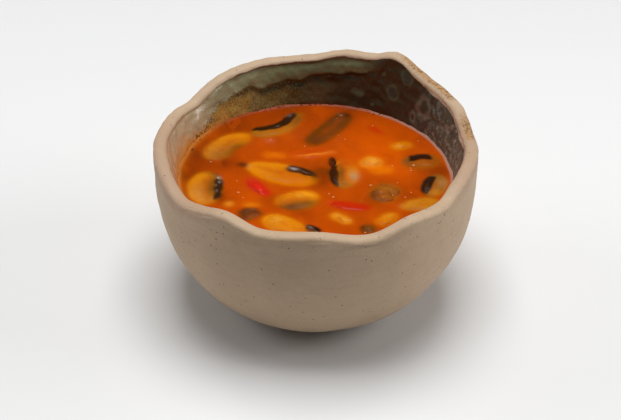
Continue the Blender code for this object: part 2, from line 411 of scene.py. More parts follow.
def bowl_profile():
    """Radius, height and part of each profile row.

    The part is 0 inside, counts from 0 to 1 over the lip, and is 1 outside."""
    depth = EQUATOR - FLOOR
    top = belly_angle(EQUATOR - LEVEL, depth)
    near_level = belly_angle(EQUATOR - LEVEL + 4.0 * MM, depth)
    angles = np.concatenate([np.linspace(np.pi / 2.0, near_level, FLOOR_ROWS)[1:],
                             np.linspace(near_level, top, LEVEL_ROWS)[1:]])
    inner_r, inner_z = belly(INNER_RADIUS, depth, angles)
    share = np.linspace(0.0, 1.0, WALL_ROWS)[1:]
    wall_r = inner_r[-1] + (BOWL_RADIUS - LIP_THICKNESS - inner_r[-1]) * share ** SPLAY_POWER
    wall_z = LEVEL + (LIP_HEIGHT - LEVEL) * share
    half = LIP_THICKNESS / 2.0
    over = np.linspace(0.0, 1.0, LIP_ROWS)[1:-1]
    lip_cos, lip_sin = np.cos(np.pi * over), np.sin(np.pi * over)
    lip_r = BOWL_RADIUS - half - half * signed_power(lip_cos, LIP_SQUARE)
    lip_z = LIP_HEIGHT + LIP_DOME * lip_sin ** LIP_SQUARE
    side_z = np.linspace(LIP_HEIGHT, EQUATOR, SIDE_ROWS)[:-1]
    side_r = np.full(len(side_z), BOWL_RADIUS)
    foot_angle = belly_angle(EQUATOR, BELLY_DEPTH)
    down = np.linspace(0.0, foot_angle, OUTSIDE_ROWS)
    outer_r, outer_z = belly(BOWL_RADIUS, BELLY_DEPTH, down)
    ring = outer_r[-1] - FOOT_RING_WIDTH
    under_r = np.array([outer_r[-1] - FOOT_EDGE, ring + FOOT_EDGE, ring - FOOT_RECESS, ring / 2.0])
    under_z = np.array([0.0, 0.0, FOOT_RECESS, FOOT_RECESS])
    radius = np.concatenate([[0.0], inner_r, wall_r, lip_r, side_r, outer_r, under_r, [0.0]])
    height = np.concatenate([[FLOOR], inner_z, wall_z, lip_z, side_z, outer_z, under_z,
                             [FOOT_RECESS]])
    before = 1 + len(inner_r) + len(wall_r)
    part = np.ones(len(radius))
    part[:before] = 0.0
    part[before:before + len(over)] = over
    return radius, height, part


# %% Pinch and roughen
# where the pale glaze stopped: azimuth and distance below the lip's centre line in mm
GLAZE_STOP = np.array([(66, 4.5), (75, 7.2), (85, 6.2), (100, 7.0), (111, 8.4), (125, 6.4),
                       (138, 7.0), (148, 9.0), (157, 12.0), (166, 16.0), (176, 21.0),
                       (200, 24.0), (330, 24.0), (359, 6.0)])
BOWL_COLUMNS = 480
INSIDE_OF_LIP = 0.20                        # share of the way over the lip that glaze can reach


def around(azimuth, start, rise, fall, end):
    """Rises from 0 to 1 from start to rise, falls back from fall to end; all in degrees."""
    turned = np.mod(azimuth - start, 360.0)
    return (smoothstep(0.0, rise - start, turned)
            * (1.0 - smoothstep(fall - start, end - start, turned)))


BowlMasks = namedtuple("BowlMasks", "within below_lip below_stop runs over")


def bowl_surface():
    """The bowl's points, its columns' azimuths, and masks for each point.

    The masks are: inside or not, mm below the lip's centre line, mm below the place where the
    pale glaze stopped, where that glaze ran, and how far over the lip from 0 to 1.
    Rows follow the profile; x = r cos a and y = r sin a.  Above the soup a row's height
    grows by (lip height - plain lip height) * share^2, and its radius shrinks by
    tuck * share^2, where share runs from 0 at the soup to 1 at the lip."""
    radius, height, part = bowl_profile()
    azimuth = np.linspace(0.0, 360.0, BOWL_COLUMNS, endpoint=False)
    turn = np.radians(azimuth)
    r = radius[:, None] + np.zeros(BOWL_COLUMNS)
    z = height[:, None] + np.zeros(BOWL_COLUMNS)
    share = np.clip((z - LEVEL) / (LIP_HEIGHT - LEVEL), 0.0, 1.0)
    z = z + (lip_height(azimuth) - LIP_HEIGHT) * share ** 2
    r = r - lip_tuck(azimuth) * share ** 2 * (r > 0.0)
    below_lip = (lip_height(azimuth) - z) / MM
    inside = (part == 0.0)[:, None] & (z > LEVEL - 3.0 * MM)
    outside = (part == 1.0)[:, None] & (z > 3.0 * MM)
    on_lip = ((part > 0.0) & (part < 1.0))[:, None] + np.zeros(BOWL_COLUMNS, bool)

    # outside: slow dents, throwing rings 2.4 mm apart and a groove 8 mm below the lip
    plain = np.stack([*polar(r, turn), z], axis=-1)
    soft = uneven(plain, 30.0 * MM, 1)
    fine = uneven(plain, 9.0 * MM, 2)
    rings = np.sin(z / MM * 2.0 * np.pi / 2.4 + 2.0 * uneven(plain, 40.0 * MM, 3))
    groove = np.exp(-((below_lip - 8.0) / 4.0) ** 2) * (0.7 + 0.3 * soft)
    fade = smoothstep(3.0, 10.0, z / MM)
    r = r + outside * fade * (0.30 * soft + 0.12 * fine + 0.04 * rings - 0.45 * groove) * MM
    lip_wander = 0.22 * uneven(plain, 16.0 * MM, 4) + 0.10 * uneven(plain, 6.0 * MM, 5)
    r = r + on_lip * lip_wander * MM
    z = z + on_lip * lip_wander * np.sin(np.pi * part)[:, None] * MM

    # inside: the glaze ends in a ledge at its stop, and its thickness wanders
    stop = ring_curve(azimuth, GLAZE_STOP[:, 0], GLAZE_STOP[:, 1])
    stop = stop + 0.7 * np.sin(turn * 23.0) + 0.4 * np.sin(turn * 41.0 + 1.0)
    runs = around(azimuth, 60, 75, 165, 185)
    past_stop = smoothstep(stop - 0.6, stop + 0.5, below_lip)
    ledge = 0.45 * around(azimuth, 60, 75, 115, 135) * (1.0 - past_stop)
    ledge = ledge * smoothstep(0.5, 3.0, below_lip)
    glaze_wander = 0.18 * uneven(plain, 7.0 * MM, 6) + 0.10 * uneven(plain, 3.0 * MM, 7)
    r = r - inside * (ledge + glaze_wander) * MM
    points = np.stack([*polar(r, turn), z], axis=-1)
    everywhere = np.ones(z.shape)
    masks = BowlMasks((part < INSIDE_OF_LIP)[:, None] * everywhere, below_lip, below_lip - stop,
                      runs * everywhere, part[:, None] * everywhere)
    return points, azimuth, masks


bowl_points, bowl_azimuth, bowl_masks = bowl_surface()
print("bowl grid:", bowl_points.shape[:2])

# %% [markdown]
# ## Colours of clay and glaze
#
# The outside is bare speckled stoneware.  Inside, the glaze changes as it goes round: nearly
# black with crystals on the right, a grey-green band that ran down at the back, olive and
# ochre further left, and thin and beige on the left.  These wide changes are worked out for
# each point of the bowl's grid and stored as a colour.  The specks, crystals and pits are too
# small for the grid, so the material adds them.

# %% Broad colours of the inner wall
DARK = (0.030, 0.024, 0.014)
MOTTLED = (0.075, 0.062, 0.042)
DARK_OLIVE = (0.065, 0.052, 0.018)
OLIVE = (0.215, 0.155, 0.045)
OCHRE = (0.450, 0.240, 0.038)
TAUPE = (0.430, 0.305, 0.190)
CELADON = (0.165, 0.168, 0.085)
CELADON_LIGHT = (0.300, 0.300, 0.180)
BEIGE = (0.430, 0.300, 0.182)
GREY_GREEN = (0.380, 0.335, 0.225)
LINE = (0.014, 0.012, 0.007)
STAIN = (0.560, 0.190, 0.015)
SLATE = (0.030, 0.044, 0.042)
SEDGE = (0.070, 0.090, 0.050)
ASH = (0.130, 0.108, 0.080)
# azimuth, mm above the soup, half width and half height in mm, colours of middle and ring
CRYSTALS = [
    (50, 21.8, 2.9, 3.4, SLATE, SEDGE), (56, 12.7, 2.6, 3.4, SLATE, SEDGE),
    (61, 20.0, 1.5, 1.4, SEDGE, DARK), (72, 8.4, 2.6, 1.6, SEDGE, SEDGE),
    (39, 12.0, 3.8, 4.4, DARK, ASH), (31, 18.0, 2.2, 4.6, ASH, SLATE),
    (44, 5.5, 1.6, 2.4, DARK, ASH), (24, 9.0, 1.6, 2.6, ASH, DARK), (18, 14.0, 1.4, 3.0, ASH, DARK),
    (65, 4.0, 1.2, 1.2, SEDGE, DARK), (33, 6.0, 1.2, 1.6, SLATE, ASH), (-14, 9.0, 2.4, 2.8, DARK, ASH),
    (-32, 13.0, 2.8, 2.4, SLATE, ASH), (-24, 5.0, 1.6, 2.2, ASH, DARK), (4, 10.0, 1.8, 3.4, ASH, DARK),
]


def crystals(colour, azimuth, above_soup, wobble):
    """Crystals that grew in the glaze: a round middle inside a paler or darker ring."""
    for place, height, half_width, half_height, middle, ring in CRYSTALS:
        turned = np.mod(azimuth - place + 180.0, 360.0) - 180.0
        across = np.radians(turned) * INNER_RADIUS / MM / half_width
        far = np.hypot(across, (above_soup - height) / half_height) * (1.0 + 0.22 * wobble)
        colour = blend(colour, ring, 0.8 * np.exp(-((far - 0.95) / 0.28) ** 2))
        colour = blend(colour, middle, 0.9 * (1.0 - smoothstep(0.45, 0.80, far)))
    return colour


def wall_colour(points, azimuth, masks):
    """The glaze's broad colour for each point of the bowl's grid."""
    wander = uneven(points, 14.0 * MM, 11)
    small = uneven(points, 4.0 * MM, 12)
    above_soup = (points[..., 2] - LEVEL) / MM
    past_stop = masks.below_stop
    a = azimuth + 5.0 * wander
    colour = np.zeros(points.shape) + BEIGE
    colour = blend(colour, OLIVE, around(a, 92, 102, 158, 178) * 0.9)
    ochre = (np.exp(-((a - 139.0) / 7.0) ** 2) + 0.8 * np.exp(-((a - 128.0) / 4.0) ** 2)
             + 0.8 * around(a, 146, 152, 166, 174) * (0.5 + 0.5 * small)).clip(0.0, 1.0)
    colour = blend(colour, OCHRE, ochre * (1.0 - smoothstep(7.0, 11.0, above_soup)) * 0.8)
    colour = blend(colour, DARK_OLIVE, around(a, 60, 78, 96, 116) * 0.9)
    colour = blend(colour, DARK, around(a, -100, -40, 70, 98))
    colour = blend(colour, MOTTLED, around(a, -40, -20, 20, 40) * 0.8)
    low_wall = 1.0 - smoothstep(6.0, 16.0, above_soup)
    colour = blend(colour, ASH, 0.8 * around(a, -30, -15, 8, 22) * low_wall)
    colour = crystals(colour, azimuth, above_soup, small)
    ragged = around(azimuth, 125, 145, 170, 185)
    band = smoothstep(-0.5, 0.3 + 2.0 * ragged, past_stop + 1.5 * small * ragged)
    band = masks.runs * (1.0 - band)
    pale = blend(CELADON, CELADON_LIGHT, 0.8 * smoothstep(104, 130, azimuth) * np.ones_like(band))
    pale = blend(pale, TAUPE, smoothstep(132, 154, azimuth) * np.ones_like(band))
    greyed = smoothstep(-0.2, 0.8, wander) * around(azimuth, 130, 145, 176, 190)
    pale = blend(pale, GREY_GREEN, 0.6 * greyed)
    colour = blend(colour, pale, band * (0.85 + 0.12 * small.clip(-1, 1)))
    drip = 1.2 + 0.5 * wander + 1.1 * around(azimuth, 74, 82, 108, 120)
    under = np.exp(-((past_stop - 0.4 - 0.6 * drip) / drip) ** 2)
    under = under * (1.0 - 0.75 * smoothstep(116, 136, azimuth))
    colour = blend(colour, LINE, masks.runs * under * (0.85 + 0.15 * wander).clip(0, 1))
    reach = 3.0 + 2.5 * around(azimuth, 150, 165, 200, 230) + 1.2 * small
    stain = np.exp(-(above_soup.clip(0.0) / reach) ** 2) * around(a, 126, 144, 205, 235)
    colour = blend(colour, STAIN, 0.95 * stain)
    return colour.clip(0.0, 1.0)


def grain_mask(azimuth, below_stop):
    """How speckled the glaze is: under the glaze's stop, and most along the stop on the left."""
    speckled = around(azimuth, 84, 98, 150, 168) * (0.25 + 0.75 * smoothstep(0.0, 1.5, below_stop))
    along_stop = around(azimuth, 112, 126, 160, 170) * np.exp(-((below_stop - 0.5) / 2.0) ** 2)
    return speckled + 1.4 * along_stop


def sector(*spans):
    """1 on every row of the bowl within the given spans of azimuth, each as for around."""
    return sum(around(bowl_azimuth, *span) for span in spans) * np.ones(bowl_points.shape[:2])


bowl = skin("bowl_body", bowl_points, wall=wall_colour(bowl_points, bowl_azimuth, bowl_masks),
            granular=grain_mask(bowl_azimuth, bowl_masks.below_stop),
            # the first sector here, 50 to 140 degrees, holds a painted shadow under the lip and the
            # glaze's own reddish edge line
            burnt=sector((50, 70, 122, 140)), bare_lip=sector((-60, -30, 36, 52)),
            mottled=sector((-42, -22, 22, 48)), rust=sector((24, 30, 50, 60), (2, 8, 14, 20)),
            warm=sector((150, 175, 222, 245), (-40, -20, 10, 30)),
            within=bowl_masks.within, below_lip=bowl_masks.below_lip, over=bowl_masks.over)
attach(bowl, "root")
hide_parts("bowl")
print("bowl:", triangles(bowl), "triangles")


# %% Clay outside, glaze inside
def clay_and_glaze():
    """Bare speckled clay, and a glossy glaze wherever the grid says it is inside."""
    f = Finish("stoneware_and_glaze")
    below = f.value("below_lip")
    near_lip = 1.0 - below.step(0.5, 5.0)
    edge_wander = (f.noise(5.0) - 0.5) * 1.4 - f.value("bare_lip") * 1.8
    glazed = (below + edge_wander).step(-1.4, -0.8) * f.value("within")

    clay = f.mix(f.noise(22.0, 3.0), (0.430, 0.306, 0.200), (0.500, 0.360, 0.236))
    flat = f.node("ShaderNodeMapping", {}, {"Vector": f.place, "Scale": (0.12, 0.12, 1.0)})
    clay = f.mix(f.noise(1.6, 3.0, where=flat).step(0.45, 0.75) * 0.22, clay, (0.36, 0.25, 0.17))
    clay = f.mix(f.value("warm") * near_lip * 0.75, clay, (0.400, 0.262, 0.172))
    rust = f.value("rust") * near_lip * f.value("over").step(0.22, 0.48)
    clay = f.mix(rust * 0.80, clay, (0.370, 0.205, 0.085))
    clay = f.mix(rust * f.noise(1.1, 3.0).step(0.48, 0.60) * 0.80, clay, (0.180, 0.080, 0.020))
    speck = f.cells(3.0)
    rare = f.red(f.cells(3.0, "Color"))
    speck_mask = (1.0 - (speck * 3.0).step(0.20, 0.42)) * rare.step(0.42, 0.50)
    clay = f.mix(speck_mask * 0.9, clay, (0.085, 0.050, 0.032))
    dust = (1.0 - (f.cells(1.2) * 1.2).step(0.10, 0.26)) * 0.45
    clay = f.mix(dust, clay, (0.22, 0.14, 0.09))

    glaze = f.colour("wall")
    granular, mottled = f.value("granular"), f.value("mottled")
    grains = f.noise(0.9, 3.0)
    glaze = f.mix(grains.step(0.48, 0.62) * granular * 0.40, glaze, (0.045, 0.028, 0.008))
    glaze = f.mix((1.0 - grains.step(0.34, 0.46)) * granular * 0.20, glaze, (0.420, 0.260, 0.060))
    ash = f.noise(2.2, 4.0, 0.6).step(0.50, 0.60) * f.noise(6.0).step(0.35, 0.60)
    glaze = f.mix(ash * mottled * 0.75, glaze, (0.250, 0.205, 0.150))
    glaze = f.mix(f.noise(2.6, 3.0).step(0.55, 0.70) * mottled * 0.6, glaze, (0.020, 0.012, 0.006))
    fleck = 1.0 - (f.cells(1.7) * 1.7).step(0.16, 0.40)
    rare = f.red(f.cells(1.7, "Color")).step(0.55, 0.65)
    glaze = f.mix(fleck * rare * 0.5, glaze, (0.030, 0.016, 0.008))
    # a painted shadow: a dark band just under the lip, where the lip shades the glaze at the back; then
    # the glaze's own reddish edge line
    burnt = f.value("burnt")
    glaze = f.mix((1.0 - below.step(-0.8, 1.2)) * burnt * 0.55, glaze, (0.050, 0.042, 0.022))
    edge_line = (1.0 - below.step(-1.0, -0.2)) * burnt
    glaze = f.mix(edge_line * 0.85, glaze, (0.110, 0.028, 0.014))
    colour = f.mix(glazed, clay, glaze)

    grit = f.noise(0.7, 3.0)
    normal = f.bump((f.noise(6.0, 3.0), 0.5), (grit, 0.10), (1.0 - speck_mask, 0.10))
    roughness = 0.62 - glazed * 0.42 + mottled * glazed * 0.25 + (f.noise(3.0) - 0.5) * 0.12
    f.done(bowl, Base_Color=colour, Roughness=roughness, Normal=normal,
           Coat_Weight=glazed * (0.3 - mottled * 0.25), Specular_IOR_Level=0.35)


clay_and_glaze()
print("bowl finished")

# %% [markdown]
# ## What floats in the soup
#
# Every piece is a bean: a rod with rounded ends and a rounded-square section, bent towards one
# side.  That one shape, with other numbers, is a mushroom half, a stalk, a lump of chicken, a
# tomato wedge or a strip of chilli.  The two exponents decide how blunt its ends are and how
# square its section is.  The pieces lie where the frame's solids lie, with the same formula.

# %% Kinds of piece and their places
# kind: bluntness of the ends, squareness of the section, lumps in mm
KINDS = {
    "mushroom": (2.2, 2.8, 0.10),
    "cap": (3.2, 2.8, 0.10),
    "stalk": (3.0, 2.8, 0.10),
    "chunk": (2.2, 2.6, 0.20),
    "brown": (2.4, 2.6, 0.30),
    "wedge": (1.5, 2.4, 0.00),
    "tomato": (2.2, 2.8, 0.10),
    "chilli": (2.0, 2.2, 0.05),
}
Piece = namedtuple("Piece", "kind x y heading length width thickness bend lean rise")
# x, y, length, width and thickness in mm, angles in degrees, rise is the top above the soup
PIECES = {
    "mushroom_left_back": Piece("cap", -38.5, 22.5, -127, 26, 12.5, 6, 80, -10, 1.6),
    "mushroom_left": Piece("mushroom", -45.8, -10.5, -90, 25, 15.5, 7, 60, 6, 2),
    "mushroom_back": Piece("cap", -17.5, 41.5, 39, 30, 10, 6, 100, 8, 1.3),
    "mushroom_centre": Piece("mushroom", -14.8, 2.4, -19, 33, 15.5, 7, 30, 6, 2),
    "mushroom_middle": Piece("mushroom", 12, 2.5, 88, 23, 13, 7, 15, 10, 1.9),
    "mushroom_right_back": Piece("mushroom", 46.5, 13.8, 10, 18, 12, 6, 35, 8, 1.5),
    "mushroom_right": Piece("mushroom", 50.8, -5.5, 72, 17, 11, 6, 30, 8, 1.6),
    "mushroom_right_front": Piece("mushroom", 44.8, -21, 188, 18, 9.5, 6, 25, -6, 1.6),
    "mushroom_front_left": Piece("mushroom", -7.5, -19.3, 200, 19, 14, 7, 25, -6, 2),
    "mushroom_front": Piece("mushroom", -12.5, -36.5, -30, 20, 11, 7, 30, 4, 2.1),
    "mushroom_front_right": Piece("mushroom", 29.8, -31, 45, 11, 6, 5, 40, 0, 1.3),
    "mushroom_stalk": Piece("stalk", 5.6, 39, 57, 33, 11, 6, 15, 0, 1.1),
    "tomato_wedge": Piece("wedge", -2, 17.8, 12, 23, 9.5, 5, 0, 0, 1.2),
    "tomato_piece": Piece("tomato", -25, -8.8, -54, 17, 6, 6, 25, 0, 1.6),
    "chilli_strip": Piece("chilli", 14.2, -21.8, -13, 19, 5.6, 3.5, 30, 0, 1),
    "chunk_right": Piece("chunk", 24.2, 12, 30, 10.5, 9, 8, 20, 14, 2.1),
    "chunk_right_back": Piece("chunk", 38.2, 26, 20, 10, 6, 6, 20, 8, 1.3),
    "chunk_front": Piece("chunk", 11, -31.4, -40, 11, 5.5, 6, 20, 8, 1.4),
    "brown_chunk": Piece("brown", 29.5, -12, 60, 15, 12.5, 9, 10, 0, 2.4),
    "brown_piece_left": Piece("brown", -27.8, -29.2, 30, 10, 9.5, 6, 20, 0, 1.5),
    "brown_piece_front": Piece("brown", 22, -38.8, 0, 7, 6.5, 6, 0, 0, 1.5),
}
# bits that are too small or too deep to be in the frame, written in the same way
BITS = {
    "bit_dark": Piece("brown", -32.1, 8.1, -24, 5, 3, 3, 20, 0, 0.35),
    "bit_pale": Piece("chunk", -36.6, -22.5, 0, 3.6, 3.6, 3, 0, 0, 0.5),
    "bit_strip": Piece("chunk", -27.2, -22.6, -2, 8, 2.6, 3, 15, 0, 0.15),
    "bit_streak": Piece("chunk", -18.5, 16.3, -4, 11, 5.5, 3, 15, 0, 0.1),
    "bit_glow": Piece("chunk", 28.8, 6.0, 8, 11, 7, 4, 10, 0, 0.0),
    "bit_pink": Piece("tomato", -20.9, 27.9, 10, 4.2, 3.4, 3, 0, 0, 0.3),
    "bit_red": Piece("tomato", 27, 38.6, -48, 9, 4, 3, 20, 0, -0.25),
    "bit_gill": Piece("mushroom", -0.9, -39.3, -34, 8, 4, 4, 30, 10, 1.0),
    # painted shadow: a dark sunk bit that stands for the shade beside the middle slice
    "bit_painted_shadow": Piece("mushroom", 4, 4, -12, 10, 5, 4, 0, 0, -0.5),
    "bit_gill_end": Piece("mushroom", 7.8, 9.4, 101, 12, 3.2, 3, 0, 0, 1.8),
    "bit_hidden_a": Piece("chunk", -3, -50, 20, 7, 4.5, 4, 20, 0, 0.6),
    "bit_hidden_b": Piece("mushroom", 17, -51, 165, 8, 5.5, 4, 40, 0, 0.7),
    "bit_hidden_c": Piece("brown", -24, -45, 60, 6, 5, 4, 0, 0, 0.6),
    "bit_hidden_d": Piece("tomato", 36, -42, 40, 7, 3.5, 3, 30, 0, 0.3),
}

# %% [markdown]
# ## What each piece looks like
#
# A slice of cooked mushroom is pale gold where it was cut and almost black along the gills, with
# painted olive shade on the side that turns away from the light and painted highlights on wet
# places.  Those changes are painted one by one: each piece has its flesh colour and a list of soft
# touches of other colours, placed along and across it from -1 to 1.
# A gill strip starts at some share of the width and runs along the hollow side.

# %% Paint box
INK = (0.012, 0.003, 0.001)
UMBER = (0.090, 0.028, 0.003)
# painted shade: dull olive laid where a piece's side turns away from the light
OLIVE_PAINTED_SHADE = (0.160, 0.055, 0.003)
MOSS = (0.240, 0.110, 0.010)
DUSK = (0.270, 0.060, 0.002)
GOLD = (0.600, 0.182, 0.001)
AMBER = (0.540, 0.132, 0.001)
YELLOW = (0.640, 0.235, 0.004)
# painted highlight: a pale glint on the brown chunk
PALE_HIGHLIGHT = (0.600, 0.275, 0.060)
PEACH = (0.650, 0.225, 0.012)
BLAZE = (0.720, 0.285, 0.030)
GLOW = (0.700, 0.175, 0.001)
# painted highlight: a pinkish pale touch at the tip of a slice
ROSE_HIGHLIGHT = (0.560, 0.200, 0.080)
CRIMSON = (0.520, 0.010, 0.004)
SCARLET = (0.460, 0.014, 0.001)
VERMILION = (0.455, 0.056, 0.001)
# painted highlight: the lilac-white sheen of light on wet gills and skins
LILAC_HIGHLIGHT = (0.240, 0.170, 0.150)

Gill = namedtuple("Gill", "start first last colour depth")
Look = namedtuple("Look", "flesh soak gill touches glints taper", defaults=(None, (), (), 0.0))
